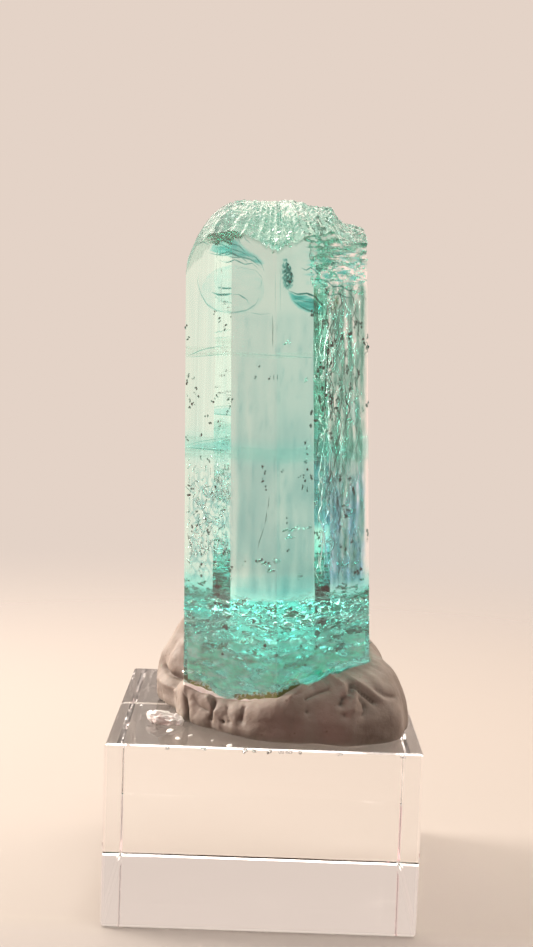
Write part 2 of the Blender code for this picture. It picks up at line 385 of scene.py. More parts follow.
def make_fresh_tack():
    """Where tack is freshly torn: paler, and clean."""
    material, tree, shader = new_material("torn_tack")
    coords = object_coordinates(tree)
    shade = remap(tree, add_noise(tree, coords, 0.6 * MM, 3.0), (0.3, 0.7), (0.0, 1.0))
    tree.links.new(mix_colours(tree, shade, (0.88, 0.83, 0.78), (0.98, 0.95, 0.91)), shader.inputs["Base Color"])
    shader.inputs["Roughness"].default_value = 0.7
    tree.links.new(add_bump(tree, add_noise(tree, coords, 0.3 * MM, 4.0), 0.05 * MM), shader.inputs["Normal"])
    return material


def make_tack_material():
    """Pale putty, dull and a little soiled, with painted shade darkening its creases."""
    material, tree, shader = new_material("mineral_tack")
    coords = object_coordinates(tree)
    # the putty and its stains are coloured darker than real pale tack: partly their own colour, partly painted shade
    # that keeps the tack's front dark
    stains = remap(tree, add_noise(tree, coords, 4.5 * MM, 5.0), (0.42, 0.72), (0.0, 1.0))
    body = mix_colours(tree, stains, (0.28, 0.24, 0.20), (0.16, 0.13, 0.10))
    specks = remap(tree, add_noise(tree, coords, 0.55 * MM, 2.0), (0.68, 0.76), (0.0, 0.75))
    body = mix_colours(tree, specks, body, (0.16, 0.12, 0.09))
    # the creases are darkened towards a near-black brown: painted shade where their hollows fall into shadow
    painted_crease_shade = remap(tree, painted(tree, "creased"), (0.3, 1.0), (0.0, 0.6))
    body = mix_colours(tree, painted_crease_shade, body, (0.07, 0.055, 0.04))
    clean = mix_colours(tree, painted(tree, "pressed"), body, (0.90, 0.88, 0.84))
    tree.links.new(clean, shader.inputs["Base Color"])
    rough = remap(tree, add_noise(tree, coords, 1.5 * MM), (0.3, 0.7), (0.55, 0.82))
    tree.links.new(rough, shader.inputs["Roughness"])
    shader.inputs["Subsurface Weight"].default_value = 0.15
    shader.inputs["Subsurface Radius"].default_value = (1.0 * MM, 0.7 * MM, 0.5 * MM)
    shader.inputs["Subsurface Scale"].default_value = 1.0
    grain = add_bump(tree, add_noise(tree, coords, 0.18 * MM, 3.0), 0.02 * MM)
    creases = add_noise(tree, coords, 1.6 * MM, 6.0)
    tree.links.new(add_bump(tree, creases, 0.20 * MM, grain), shader.inputs["Normal"])
    return material


# ----------------------------------------------------------------------------- crystal

AROUND_FACE = 96
AROUND = CORNERS * AROUND_FACE
FOOT_RINGS, WALL_RINGS, DOME_RINGS = 12, 60, 74
RIDGE_HEIGHT, RIDGE_PITCH = 0.17 * MM, 0.50 * MM  # etched ridges, which fan out towards the front
FAN = 14.0
SPOKE_HEIGHT = 0.20 * MM  # broader spokes, which run down from the dome's crest
TOOTH_HEIGHT, TOOTH_SIZE = 0.15 * MM, 0.36 * MM
RIPPLE_DEPTH = 0.17 * MM  # the etched shelves below the right shoulder
CRUST_RISE = 1.3 * MM  # how far earth clings above the foot's rim


def prism_corners():
    """The section's six corners at nominal size, from the front edge anticlockwise."""
    half = PRISM_HALF_WIDTH
    front_shoulder = PRISM_FRONT + FACE_SLOPE * half
    return [
        Vector((0.0, PRISM_FRONT)),
        Vector((half, front_shoulder)),
        Vector((half, PRISM_BACK - FACE_SLOPE * (half - BACK_EDGE_X))),
        Vector((BACK_EDGE_X, PRISM_BACK)),
        Vector((-half, PRISM_BACK - FACE_SLOPE * (half + BACK_EDGE_X))),
        Vector((-half, front_shoulder)),
    ]


def section_scale(height):
    return 1.0 - TAPER * (height - PRISM_MIDDLE)


def fall(side, distance):
    amount, reach, power = DOME_FALLS[side]
    return amount * (abs(distance) / reach) ** power


def dome_height(x, y):
    """Height of the etched termination over a point of the section."""
    away = Vector((x, y)) - DOME_CREST
    height = DOME_TOP
    height -= fall("left" if away.x < 0.0 else "right", away.x)
    height -= fall("front" if away.y < 0.0 else "back", away.y)
    height -= DOME_STEP * smooth(DOME_STEP_FROM, DOME_STEP_TO, x)
    turn = math.atan2(y, x)
    reach = math.hypot(x, y) / PRISM_BACK
    way = Vector((math.cos(turn), math.sin(turn), 0.0))
    height += 0.45 * MM * reach * noise.noise(way * 5.0)
    height += 0.40 * MM * noise.noise(Vector((x, y, 0.0)) / (2.6 * MM))
    fan = x / (1.0 - FAN * y)
    ridges = noise.noise(Vector((fan / RIDGE_PITCH, y / (7.0 * MM), 2.0)))
    height += RIDGE_HEIGHT * ridges * smooth(1.0, 0.8, reach)
    spoke = 0.5 - abs(noise.noise(way * 14.0 + Vector((0.0, 0.0, 0.7 * reach)))) * 2.0
    height += SPOKE_HEIGHT * spoke * smooth(0.1, 0.5, reach)
    return height + TOOTH_HEIGHT * noise.noise(Vector((x, y, 5.0 * MM)) / TOOTH_SIZE)


def foot_height(x, y):
    """Height of the broken lower end over a point of the section."""
    height = FOOT_LOW + FOOT_CLIMB * smooth(FOOT_CLIMB_FROM, FOOT_CLIMB_TO, x)
    height += CORNER_CHIP * smooth(CORNER_CHIP_FROM, CORNER_CHIP_TO, x)
    height += 0.35 * MM * noise.noise(Vector((x, y, FOOT_LOW)) / (4.0 * MM))
    return height + 0.22 * MM * noise.noise(Vector((x, y, 0.0)) / (0.9 * MM))


def outline():
    """The points of the section, with more of them near the corners."""
    corners = prism_corners()
    points = []
    for start, end in zip(corners, corners[1:] + corners[:1]):
        for index in range(AROUND_FACE):
            share = index / AROUND_FACE
            share -= 0.7 * math.sin(2.0 * math.pi * share) / (2.0 * math.pi)
            points.append(start.lerp(end, share))
    return points


ETCHED_EDGE = ((-9.6, 47.6), (-8.2, 48.6), (-7.0, 50.0), (-5.6, 51.0), (-4.8, 60.0))  # mm


def etched_share(x, height):
    """How frosted the left-hand front face is, above the ragged line where the etching ends."""
    for (start, low), (end, high) in zip(ETCHED_EDGE, ETCHED_EDGE[1:]):
        if start <= x / MM <= end:
            edge = low + (high - low) * (x / MM - start) / (end - start)
            edge += 0.35 * noise.noise(Vector((x / MM * 3.0, height / MM, 0.0)))
            return 0.5 * smooth(edge - 0.05, edge + 0.25, height / MM)
    return 0.0


def ripple_share(x, height):
    """Where the right-hand front face is etched into shelves, below its shoulder."""
    low = 45.6 + 0.8 * noise.noise(Vector((x / MM, 0.0, 0.0)))
    return smooth(2.2, 4.4, x / MM) * smooth(low, low + 1.2, height / MM)


def ripple(x, height):
    """How deep the shelves cut the face."""
    wave = noise.noise(Vector((x * 0.6, 7.0 * MM, height * 1.6)) / (0.75 * MM))
    return RIPPLE_DEPTH * ripple_share(x, height) * (0.5 + wave)


def crust_share(x):
    """Where earth clings along the foot's rim."""
    left = smooth(-9.4, -8.6, x / MM) * (1.0 - smooth(-6.9, -5.6, x / MM))
    middle = smooth(-4.8, -3.6, x / MM) * (1.0 - smooth(1.8, 3.6, x / MM))
    return max(left, middle)


def build_crystal(material):
    points = outline()
    rows = 1 + FOOT_RINGS + WALL_RINGS + DOME_RINGS + 1
    painted_values = {"etched": {}, "rippled": {}, "crust": {}, "broken": {}}

    def place(step, row):
        frost, shelf, earth, rubble = 0.0, 0.0, 0.0, 0.0
        if row <= FOOT_RINGS:
            reach = row / (FOOT_RINGS + 1)
            flat = points[step] * reach
            height = foot_height(*flat)
            rubble = 1.0
            earth = smooth(0.55, 0.9, reach) * crust_share(flat.x)
        elif row <= FOOT_RINGS + WALL_RINGS:
            flat = points[step]
            share = (row - FOOT_RINGS - 1) / (WALL_RINGS - 1)
            share = 1.0 - (1.0 - share) ** 2.4
            low, high = foot_height(*flat), dome_height(*flat)
            height = low + (high - low) * share
            frost = 0.7 * smooth(high - 0.5 * MM, high, height)
            if flat.y < 0.0:
                shelf = ripple_share(flat.x, height)
                frost = max(frost, etched_share(flat.x, height))
                flat = flat * (1.0 - ripple(flat.x, height) / PRISM_BACK)
            earth = 0.95 * (1.0 - smooth(0.0, CRUST_RISE, height - low)) * crust_share(flat.x)
        else:
            reach = 1.0 - (row - FOOT_RINGS - WALL_RINGS) / (DOME_RINGS + 1)
            flat = points[step] * reach
            height = dome_height(*flat)
            frost = 1.0
            if flat.y < 0.0:
                flat = flat * (1.0 - ripple(flat.x, height) / PRISM_BACK)
        flat = flat * section_scale(height)
        spot = STAND @ Vector((flat.x, flat.y, height))
        spot.freeze()
        for name, value in (("etched", frost), ("rippled", shelf), ("crust", earth), ("broken", rubble)):
            painted_values[name][spot] = value
        return spot

    bm = lofted(AROUND, rows, place)
    for name, values in painted_values.items():
        layer = bm.verts.layers.float.new(name)
        for vert in bm.verts:
            vert[layer] = values.get(vert.co.copy().freeze(), 0.0)
    crystal = add_piece("crystal", bm, material, sharp=24)
    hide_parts("aquamarine_crystal")


# --------------------------------------------------------- what is sealed in the crystal

ZONE_TOP = 12.7 * MM  # where the deep colour of the foot ends, on the crystal's axis
ZONE_FALL = -0.12  # its slope towards the back
ZONE_AROUND = 120
SHEET_SHARE = 0.985  # of the way from the axis to the crystal's faces


def reach_along(way, corners=None):
    """Distance from the axis to an outline in a direction: the nominal section's unless another is given."""
    if corners is None:
        corners = prism_corners()
    reaches = []
    for start, end in zip(corners, corners[1:] + corners[:1]):
        outward = Vector((end.y - start.y, start.x - end.x))
        if outward.dot(way) > 0.0:
            reaches.append(outward.dot(start) / outward.dot(way))
    return min(reaches)


def behind_face(across, height, depth):
    """A place inside the crystal: how far across and how high on its front faces, and how far behind them."""
    scale = section_scale(height)
    return Vector((across, PRISM_FRONT * scale + FACE_SLOPE * abs(across) + depth, height))


def in_section(rng, height, share):
    """A random place at a height, within a share of the section's reach."""
    turn = rng.uniform(0.0, 2.0 * math.pi)
    way = Vector((math.cos(turn), math.sin(turn)))
    reach = reach_along(way) * section_scale(height) * share * math.sqrt(rng.random())
    return Vector((way.x * reach, way.y * reach, height))


def sealed_piece(name, bm, material):
    bmesh.ops.transform(bm, matrix=STAND, verts=bm.verts)
    return add_piece(name, bm, material)


def add_lens(bm, middle, facing, size, spin=0.0, segments=10, warp=0.0):
    """A thin closed lens of a size (length, width, thickness), whose flat side faces a direction."""
    turn = facing.to_track_quat("Z", "Y").to_matrix().to_4x4() @ Matrix.Rotation(spin, 4, "Z")
    part = bmesh.new()
    bmesh.ops.create_uvsphere(part, u_segments=segments, v_segments=4, radius=0.5)
    for vert in part.verts:
        bend = noise.noise(vert.co * 1.6 + middle / MM)
        edge = 1.0 + 0.35 * noise.noise(Vector((vert.co.x, vert.co.y, 0.0)) * 3.0 + middle / MM)
        vert.co.x *= edge * size[0]
        vert.co.y *= edge * size[1]
        vert.co.z = vert.co.z * size[2] + bend * warp
    bmesh.ops.transform(part, matrix=Matrix.Translation(middle) @ turn, verts=part.verts)
    gather(bm, part)


def add_tube(bm, start, end, radius, wander, seed, sides=5, joints=9):
    """A thin closed tube that tapers to both ends and wanders off its line."""
    side = (end - start).cross(Vector((0.0, 1.0, 0.0))).normalized()
    depth = (end - start).cross(side).normalized()

    def place(step, row):
        share = row / (joints - 1)
        turn = 2.0 * math.pi * step / sides
        swell = radius * math.sin(math.pi * share) ** 0.6
        swell *= 1.0 + 0.5 * noise.noise(Vector((seed, share * 9.0, 0.0)))
        off = wander * noise.noise(Vector((seed, share * 4.0, 5.0)))
        point = start.lerp(end, share) + side * off
        return point + (side * math.cos(turn) + depth * math.sin(turn)) * swell

    gather(bm, lofted(sides, joints, place))


def section_sheet(name, material, height, waves, seed, slope=(0.0, 0.0), rings=16, around=96):
    """A thin film right across the crystal at a height, with waves of (size, height) and a slope."""
    thickness = 0.03 * MM

    def place(step, row):
        turn = 2.0 * math.pi * step / around
        way = Vector((math.cos(turn), math.sin(turn)))
        ring = row if row <= rings else 2 * rings + 1 - row
        out = ring / rings
        flat = way * reach_along(way) * SHEET_SHARE * out
        lift = flat.dot(Vector(slope))
        for size, wave in waves:
            lift += wave * noise.noise(Vector((flat.x, flat.y, seed * MM)) / size)
        side = 0.5 if row > rings else -0.5
        level = height + lift + side * thickness * (1.0 - out**4)
        level = max(level, foot_height(*flat) + 0.2 * MM)
        return Vector((*(flat * section_scale(level)), level))

    bm = lofted(around, 2 * rings + 2, place)
    return sealed_piece(name, bm, material)


def colour_solid(name, material, low, top, wave, inset, fall=0.0):
    """A body of deeper colour right across the crystal, from a height (or its foot) up to another. Each has its own
    inset from the faces, because two bodies must not share a wall."""
    reaches = (0.0, 0.33, 0.66, 1.0, 1.0, 0.75, 0.5, 0.25, 0.0)

    def place(step, row):
        turn = 2.0 * math.pi * step / ZONE_AROUND
        way = Vector((math.cos(turn), math.sin(turn)))
        flat = way * (reach_along(way) - inset) * reaches[row]
        lift = wave * noise.noise(Vector((flat.x, flat.y, 20.0 * inset)) / (4.0 * MM)) + fall * flat.y
        if row > 3:
            height = top + lift
        elif low is None:
            height = foot_height(*flat) + 0.2 * MM + inset
        else:
            height = low + lift
        return Vector((*(flat * section_scale(height)), height))

    bm = lofted(ZONE_AROUND, len(reaches), place)
    return sealed_piece(name, bm, material)


def build_colour_zones():
    foot = make_colour_zone("foot_colour", (0.0, 0.98, 0.955), 50.0)
    fading = make_colour_zone("fading_colour", (0.0, 0.95, 0.93), 9.0)
    layer = make_colour_zone("layer_colour", (0.0, 0.96, 0.94), 7.5)
    colour_solid("foot_colour", foot, None, ZONE_TOP, 0.25 * MM, 0.20 * MM, ZONE_FALL)
    colour_solid("foot_colour_fade", fading, None, ZONE_TOP + 0.5 * MM, 0.3 * MM, 0.15 * MM, ZONE_FALL)
    colour_solid("foot_colour_edge", fading, None, ZONE_TOP + 1.3 * MM, 0.5 * MM, 0.10 * MM, ZONE_FALL)
    colour_solid("foot_colour_haze", fading, None, ZONE_TOP + 2.6 * MM, 0.7 * MM, 0.25 * MM, ZONE_FALL)
    colour_solid("middle_layer", layer, 27.5 * MM, 29.7 * MM, 0.4 * MM, 0.10 * MM)
    colour_solid("middle_layer_core", layer, 28.0 * MM, 29.2 * MM, 0.4 * MM, 0.15 * MM)


def glint_tilt(rng, spread, across):
    """The tilt at which a flake behind either front face mirrors the light above and behind towards the front."""
    lean = -0.95 if across < BACK_EDGE_X else -0.35  # the light stands to the left of the crystal
    return Vector((rng.gauss(lean, spread), rng.gauss(-0.39, spread), 1.0))


def in_foot(rng, climb):
    """A random place in the deep-coloured foot, a share of the way up it."""
    flat = in_section(rng, 0.0, 0.93)
    low = foot_height(flat.x, flat.y) + 0.4 * MM
    high = ZONE_TOP + ZONE_FALL * flat.y
    return Vector((flat.x, flat.y, low + (high - low) * climb))


def build_foot_cracks(glint):
    """Flat healed cracks that lie across the foot of the crystal, and specks that catch the light."""
    crumpled = ((5.0 * MM, 0.5 * MM), (1.3 * MM, 0.30 * MM), (0.45 * MM, 0.10 * MM))
    milk = make_milk("cloudy_veil", (0.90, 1.0, 0.97), 1.7 * MM, (0.0, 0.3))
    for number, (level, fall) in enumerate(((8.4, 0.30), (10.9, -0.08))):
        section_sheet(f"foot_veil_{number}", milk, level * MM, crumpled, 20.0 + number, (0.02, fall), 40, 160)
    rng = random.Random(11)
    bm = bmesh.new()
    for _ in range(330):
        size = rng.uniform(0.4, 2.2) * MM
        tilt = Vector((rng.gauss(0.0, 0.16), rng.gauss(-0.18, 0.12), 1.0))
        lens = (size, size * rng.uniform(0.4, 0.9), 0.06 * MM)
        middle = in_foot(rng, rng.random() ** 0.85)
        add_lens(bm, middle, tilt, lens, rng.uniform(0.0, 3.1), 9, 0.3 * MM)
    sealed_piece("foot_cracks", bm, make_gas("frosted_gas", 0.08))
    bm = bmesh.new()
    for _ in range(500):
        size = rng.uniform(0.12, 0.5) * MM
        middle = in_foot(rng, rng.random() ** 0.6)
        tilt = glint_tilt(rng, 0.16, middle.x)
        add_lens(bm, middle, tilt, (size, size * 0.9, 0.03 * MM), 0.0, 7)
    for across, height, size in ((1.6, 6.2, 0.9), (1.1, 6.0, 0.6), (2.1, 6.4, 0.4), (5.0, 6.5, 0.9), (5.7, 6.5, 0.7),
                                 (4.4, 6.2, 0.5), (-3.3, 9.9, 0.5), (-2.6, 10.1, 0.4), (-7.9, 6.0, 0.4)):
        for _ in range(5):
            spot = (across + rng.gauss(0.0, 0.2), height + rng.gauss(0.0, 0.12))
            tilt = glint_tilt(rng, 0.10, across * MM)
            add_lens(bm, behind_face(spot[0] * MM, spot[1] * MM, 0.5 * MM), tilt,
                     (size * MM, 0.6 * MM, 0.03 * MM), rng.gauss(0.0, 0.3), 9, 0.1 * MM)
    sealed_piece("foot_glints", bm, glint)


def build_foot_cloud():
    """The milky growth behind the front faces of the foot, densest at its rim."""
    material, tree, shader = new_material("foot_cloud")
    shader.inputs["Roughness"].default_value = 0.8
    shader.inputs["IOR"].default_value = 1.7
    shader.inputs["Transmission Weight"].default_value = 0.8
    clear = tree.nodes.new("ShaderNodeBsdfTransparent")
    mix = tree.nodes.new("ShaderNodeMixShader")
    coords = object_coordinates(tree)
    wisps = remap(tree, add_noise(tree, coords, 1.1 * MM, 5.0, (0.6, 1.0, 2.0)), (0.46, 0.66), (0.0, 1.0))
    tree.links.new(mix_colours(tree, wisps, (0.38, 0.97, 0.80), (1.0, 1.0, 1.0)), shader.inputs["Base Color"])
    patches = remap(tree, add_noise(tree, coords, 1.5 * MM, 5.0, (0.7, 1.0, 1.6)), (0.40, 0.60), (0.1, 1.0))
    tree.links.new(calculate(tree, "MULTIPLY", patches, painted(tree, "cloudy")), mix.inputs["Fac"])
    tree.links.new(clear.outputs["BSDF"], mix.inputs[1])
    tree.links.new(shader.outputs["BSDF"], mix.inputs[2])
    tree.links.new(mix.outputs["Shader"], tree.nodes["Material Output"].inputs["Surface"])
    bm = bmesh.new()
    bmesh.ops.create_grid(bm, x_segments=110, y_segments=50, size=0.5)
    layer = bm.verts.layers.float.new("cloudy")
    for vert in bm.verts:
        across, share = 18.3 * MM * vert.co.x - 0.05 * MM, vert.co.y + 0.5
        rim = behind_face(across, 7.0 * MM, 0.8 * MM)
        low = foot_height(rim.x, rim.y) + 0.6 * MM
        height = low + (12.0 * MM - low) * share
        wave = noise.noise(Vector((across, 0.0, height)) / (1.4 * MM))
        vert.co = behind_face(across, height, (0.9 + 0.4 * wave) * MM)
        vert[layer] = 0.95 * (1.0 - smooth(0.2, 1.0, share)) + 0.05
    grown = bmesh.ops.extrude_face_region(bm, geom=bm.faces[:], use_keep_orig=True)["geom"]
    for vert in (part for part in grown if isinstance(part, bmesh.types.BMVert)):
        vert.co.y += 0.3 * MM
    bmesh.ops.recalc_face_normals(bm, faces=bm.faces)
    sealed_piece("foot_cloud", bm, material)


def build_partings(film):
    section_sheet("upper_parting", film, 38.9 * MM, ((5.0 * MM, 0.25 * MM),), 3.0)
    section_sheet("lower_parting", film, 28.4 * MM, ((5.0 * MM, 0.30 * MM),), 4.0)


PARTING_LINES = (
    (((-9.4, 38.8), (-7.6, 39.6), (-4.8, 40.2)), 0.14), (((-9.4, 38.8), (-7.0, 39.0), (-4.4, 39.3)), 0.10),
    (((-4.4, 39.3), (0.1, 39.1), (4.1, 38.8), (9.1, 38.5)), 0.10), (((-9.6, 29.6), (-7.7, 30.2), (-4.4, 30.8)), 0.12),
    (((-9.6, 29.5), (-7.2, 29.4), (-4.4, 29.3)), 0.18), (((4.2, 30.7), (6.6, 29.7), (9.1, 28.4)), 0.16),
    (((4.2, 28.3), (6.6, 28.2), (9.1, 28.1)), 0.12), (((5.9, 40.6), (6.3, 36.0), (6.1, 30.8)), 0.10),
    (((6.2, 26.4), (6.2, 22.0), (6.5, 18.0)), 0.10), (((-8.9, 28.0), (-7.0, 24.0), (-5.6, 28.6)), 0.10),
    (((-5.8, 27.0), (-6.8, 23.0), (-8.4, 17.5)), 0.10), (((4.7, 24.5), (5.2, 24.4), (5.8, 24.5)), 0.10),
    (((4.7, 23.9), (5.2, 23.8), (5.8, 23.9)), 0.08), (((4.7, 25.0), (5.2, 25.0), (5.7, 25.1)), 0.08),
)
TEAL_WEDGES = (
    ((-9.5, 29.5), (-7.7, 30.1), (-4.4, 30.7), (-4.3, 29.3), (-7.2, 29.3)),
    ((4.2, 30.6), (6.6, 29.6), (9.1, 28.4), (9.1, 28.1), (6.6, 28.2), (4.2, 28.3)),
    ((7.2, 34.4), (7.6, 35.0), (8.6, 34.6), (8.5, 31.8), (7.4, 31.5)),
)
WISPS = ((1.3, 20.8, 1.0), (-0.6, 17.4, 0.6), (2.3, 16.7, 0.5), (1.8, 21.6, 0.8), (0.8, 21.4, 0.7), (3.0, 21.5, 0.6),
         (-0.9, 18.1, 0.6), (6.4, 17.5, 0.7), (7.0, 17.2, 0.6), (0.0, 18.4, 0.5), (-1.6, 18.3, 0.6), (4.7, 21.1, 0.7),
         (5.2, 20.1, 0.6), (7.4, 22.6, 0.9), (7.8, 23.0, 0.6), (7.0, 23.6, 0.6), (0.8, 40.5, 0.6), (2.8, 36.6, 0.2),
         (7.6, 32.3, 0.6), (5.6, 37.6, 0.5), (8.2, 17.4, 0.5), (-6.2, 17.5, 0.5), (3.9, 24.0, 0.4))


def build_parting_edges(glint):
    """Where the partings meet the front faces: fine lines, wedges of deeper colour, and bright wisps nearby."""
    bm = bmesh.new()
    for points, width in PARTING_LINES:
        add_stroke(bm, points, width, width, 0.5)
    sealed_piece("parting_lines", bm, make_colour_zone("parting_colour", (0.1, 0.66, 0.62), 9000.0))

    def wedge(x, height):
        return max(smooth(0.0, 0.3, inside(corners, x, height)) for corners in TEAL_WEDGES)

    teal = make_colour_zone("wedge_colour", (0.0, 0.80, 0.82), 900.0)
    face_slab("parting_wedges", teal, (-9.5, 9.2), (27.9, 35.2), 0.7, 0.5, wedge, (150, 60))
    rng = random.Random(41)
    bm = bmesh.new()
    for across, height, length in WISPS:
        for _ in range(6):
            x, up = across + rng.gauss(0.0, 0.3 * length), height + rng.gauss(0.0, 0.12)
            size = (rng.uniform(0.3, 0.9) * length * MM, 0.40 * MM, 0.03 * MM)
            spot = behind_face(x * MM, up * MM, 0.5 * MM)
            add_lens(bm, spot, glint_tilt(rng, 0.12, x * MM), size, rng.gauss(0.0, 0.4), 8, 0.1 * MM)
    sealed_piece("wisps", bm, glint)


def add_flecks(bm, rng, flecks, coarse):
    """Clumps of short grains just behind the front faces, at (across, height, length) in millimetres."""
    for across, height, length in flecks:
        lean = rng.gauss(0.0, 0.45)
        for _ in range(2 + round(length * 3.0)):
            along = rng.uniform(-0.5, 0.5) * length
            x = across + along * math.sin(lean) + rng.gauss(0.0, 0.07)
            middle = behind_face(x * MM, (height + along * math.cos(lean)) * MM, rng.uniform(0.15, 0.7) * MM)
            facing = Vector((rng.gauss(0.0, 0.6), -1.0, rng.gauss(0.0, 0.6)))
            size = coarse * rng.uniform(0.14, 0.42) * MM
            add_lens(bm, middle, facing, (size * 0.6, size, size * 0.5), lean + rng.gauss(0.0, 0.6), 6, 0.1 * MM)


LEFT_FLECKS = (
    (-9.3, 42.0, 0.6), (-9.0, 40.8, 0.4), (-6.3, 43.4, 0.4), (-5.8, 42.6, 0.7), (-5.2, 41.9, 0.5),
    (-9.0, 37.0, 0.5), (-9.2, 36.3, 0.5), (-8.6, 36.6, 0.4), (-8.2, 35.6, 0.5), (-8.3, 35.0, 0.5),
    (-7.9, 34.8, 0.3), (-9.2, 35.0, 0.4), (-8.9, 34.4, 0.5), (-9.0, 33.8, 0.4), (-8.6, 33.9, 0.5),
    (-6.1, 34.8, 0.5), (-6.4, 34.4, 0.3), (-4.9, 34.4, 0.6), (-4.7, 33.8, 0.7), (-5.0, 33.3, 0.5),
    (-4.5, 34.6, 0.4), (-5.9, 32.2, 0.3), (-5.8, 31.7, 0.5), (-7.7, 30.8, 0.4), (-7.1, 32.8, 0.4),
    (-6.8, 32.0, 0.4), (-9.3, 30.5, 0.6), (-9.2, 30.1, 0.4), (-7.7, 28.4, 0.5), (-6.9, 28.3, 0.4),
    (-8.9, 25.4, 0.9), (-9.0, 24.6, 0.8), (-8.2, 22.8, 0.8), (-8.0, 21.7, 0.7), (-7.4, 21.9, 0.6),
    (-7.1, 20.8, 0.9), (-6.7, 24.8, 0.6), (-6.2, 25.4, 0.7), (-5.9, 26.4, 0.6), (-7.7, 18.4, 0.5),
    (-7.9, 17.1, 1.0), (-7.9, 16.4, 0.6), (-6.4, 19.3, 0.8), (-4.8, 17.9, 0.9), (-4.7, 17.0, 1.0),
    (-4.6, 16.1, 0.7), (-5.5, 18.6, 0.6), (-8.7, 21.0, 0.7), (-9.0, 19.7, 0.8),
)
MIDDLE_FLECKS = (
    (-1.1, 27.3, 0.5), (-1.3, 26.5, 0.6), (-1.1, 25.8, 0.6), (-1.3, 27.9, 0.3), (0.4, 27.5, 0.5), (2.8, 30.3, 0.6),
    (3.0, 29.4, 0.8), (2.9, 28.4, 0.6), (2.5, 27.0, 0.8), (2.8, 26.5, 0.7), (3.2, 27.2, 0.9), (2.5, 25.8, 0.6),
    (3.0, 25.6, 0.7), (3.5, 26.8, 0.7), (1.0, 22.5, 0.6), (-1.9, 38.1, 0.4), (-2.0, 36.9, 0.5), (1.1, 19.4, 0.4),
    (-3.3, 17.9, 0.6), (-0.6, 36.9, 0.4),
)
RIGHT_FLECKS = (
    (4.1, 37.7, 0.5), (3.9, 36.9, 0.5), (4.4, 38.1, 0.5), (5.1, 39.4, 0.9), (5.4, 38.1, 0.7), (5.5, 37.1, 0.6),
    (4.8, 37.6, 0.7), (4.6, 35.7, 0.7), (5.1, 35.0, 0.9), (5.6, 34.3, 0.9), (6.1, 33.5, 0.8), (5.4, 33.1, 0.9),
    (5.5, 32.5, 0.7), (5.1, 31.4, 0.6), (5.5, 30.9, 0.8), (3.4, 33.3, 0.5), (3.9, 32.5, 0.8), (3.3, 32.0, 0.4),
    (4.3, 34.6, 0.7), (4.6, 33.6, 0.7), (6.6, 40.7, 0.9), (7.4, 41.1, 1.1), (5.6, 40.2, 0.9), (8.3, 37.5, 1.0),
    (7.7, 37.1, 1.1), (7.1, 37.6, 0.9), (6.3, 36.1, 1.1), (7.5, 35.9, 1.0), (8.9, 40.4, 0.9), (6.4, 26.5, 0.9),
    (7.5, 26.5, 0.8), (7.9, 25.0, 1.1), (6.9, 23.1, 0.9), (7.1, 22.7, 1.0), (7.3, 22.8, 0.8), (8.2, 16.5, 0.7),
    (8.4, 16.6, 0.8), (6.4, 21.2, 0.9), (6.7, 19.2, 0.9), (7.0, 18.8, 0.6), (7.7, 19.9, 0.6), (4.1, 20.7, 0.7),
    (4.2, 19.4, 0.7), (8.0, 42.1, 0.8), (8.5, 42.0, 0.7), (9.3, 41.0, 0.5), (9.3, 40.0, 0.4), (3.5, 43.3, 0.6),
    (3.9, 42.9, 0.7), (9.3, 34.0, 0.4), (9.4, 20.2, 1.4),
)
FOOT_FLECKS = (
    (0.0, 8.8, 0.3), (-8.4, 4.9, 0.4), (0.1, 5.7, 0.2), (-1.1, 9.6, 0.2), (2.4, 9.4, 0.2), (2.8, 7.4, 0.2),
    (-3.3, 10.9, 0.3), (0.5, 11.1, 0.3), (-6.6, 9.0, 0.3), (-5.5, 8.2, 0.2), (3.9, 9.1, 0.3), (6.2, 9.6, 0.3),
    (-8.6, 10.8, 0.2), (-7.2, 11.6, 0.3), (-4.9, 12.1, 0.2), (-2.2, 12.0, 0.3), (4.6, 11.8, 0.3), (7.3, 11.5, 0.3),
)


def build_dark_flecks(material):
    rng = random.Random(21)
    bm = bmesh.new()
    for flecks, coarse in ((LEFT_FLECKS, 1.0), (MIDDLE_FLECKS, 1.0), (RIGHT_FLECKS, 1.25), (FOOT_FLECKS, 1.2)):
        add_flecks(bm, rng, flecks, coarse)
    trail = ((-0.6, 25.0), (-0.8, 23.5), (-1.1, 21.9), (-1.9, 19.3))  # a curved thread
    for seed, (above, below) in enumerate(zip(trail, trail[1:])):
        start = behind_face(above[0] * MM, above[1] * MM, 0.8 * MM)
        end = behind_face(below[0] * MM, below[1] * MM, 0.8 * MM)
        add_tube(bm, start, end, 0.06 * MM, 0.20 * MM, seed)
    for seed, across in enumerate((-0.25, -0.15)):  # a fine thread beside the front edge
        start = behind_face(across * MM, (43.3 - 6.0 * seed) * MM, 0.9 * MM)
        end = behind_face(across * MM, (39.6 - 3.0 * seed) * MM, 0.9 * MM)
        add_tube(bm, start, end, 0.06 * MM, 0.05 * MM, 9.0 + seed)
    sealed_piece("dark_flecks", bm, material)


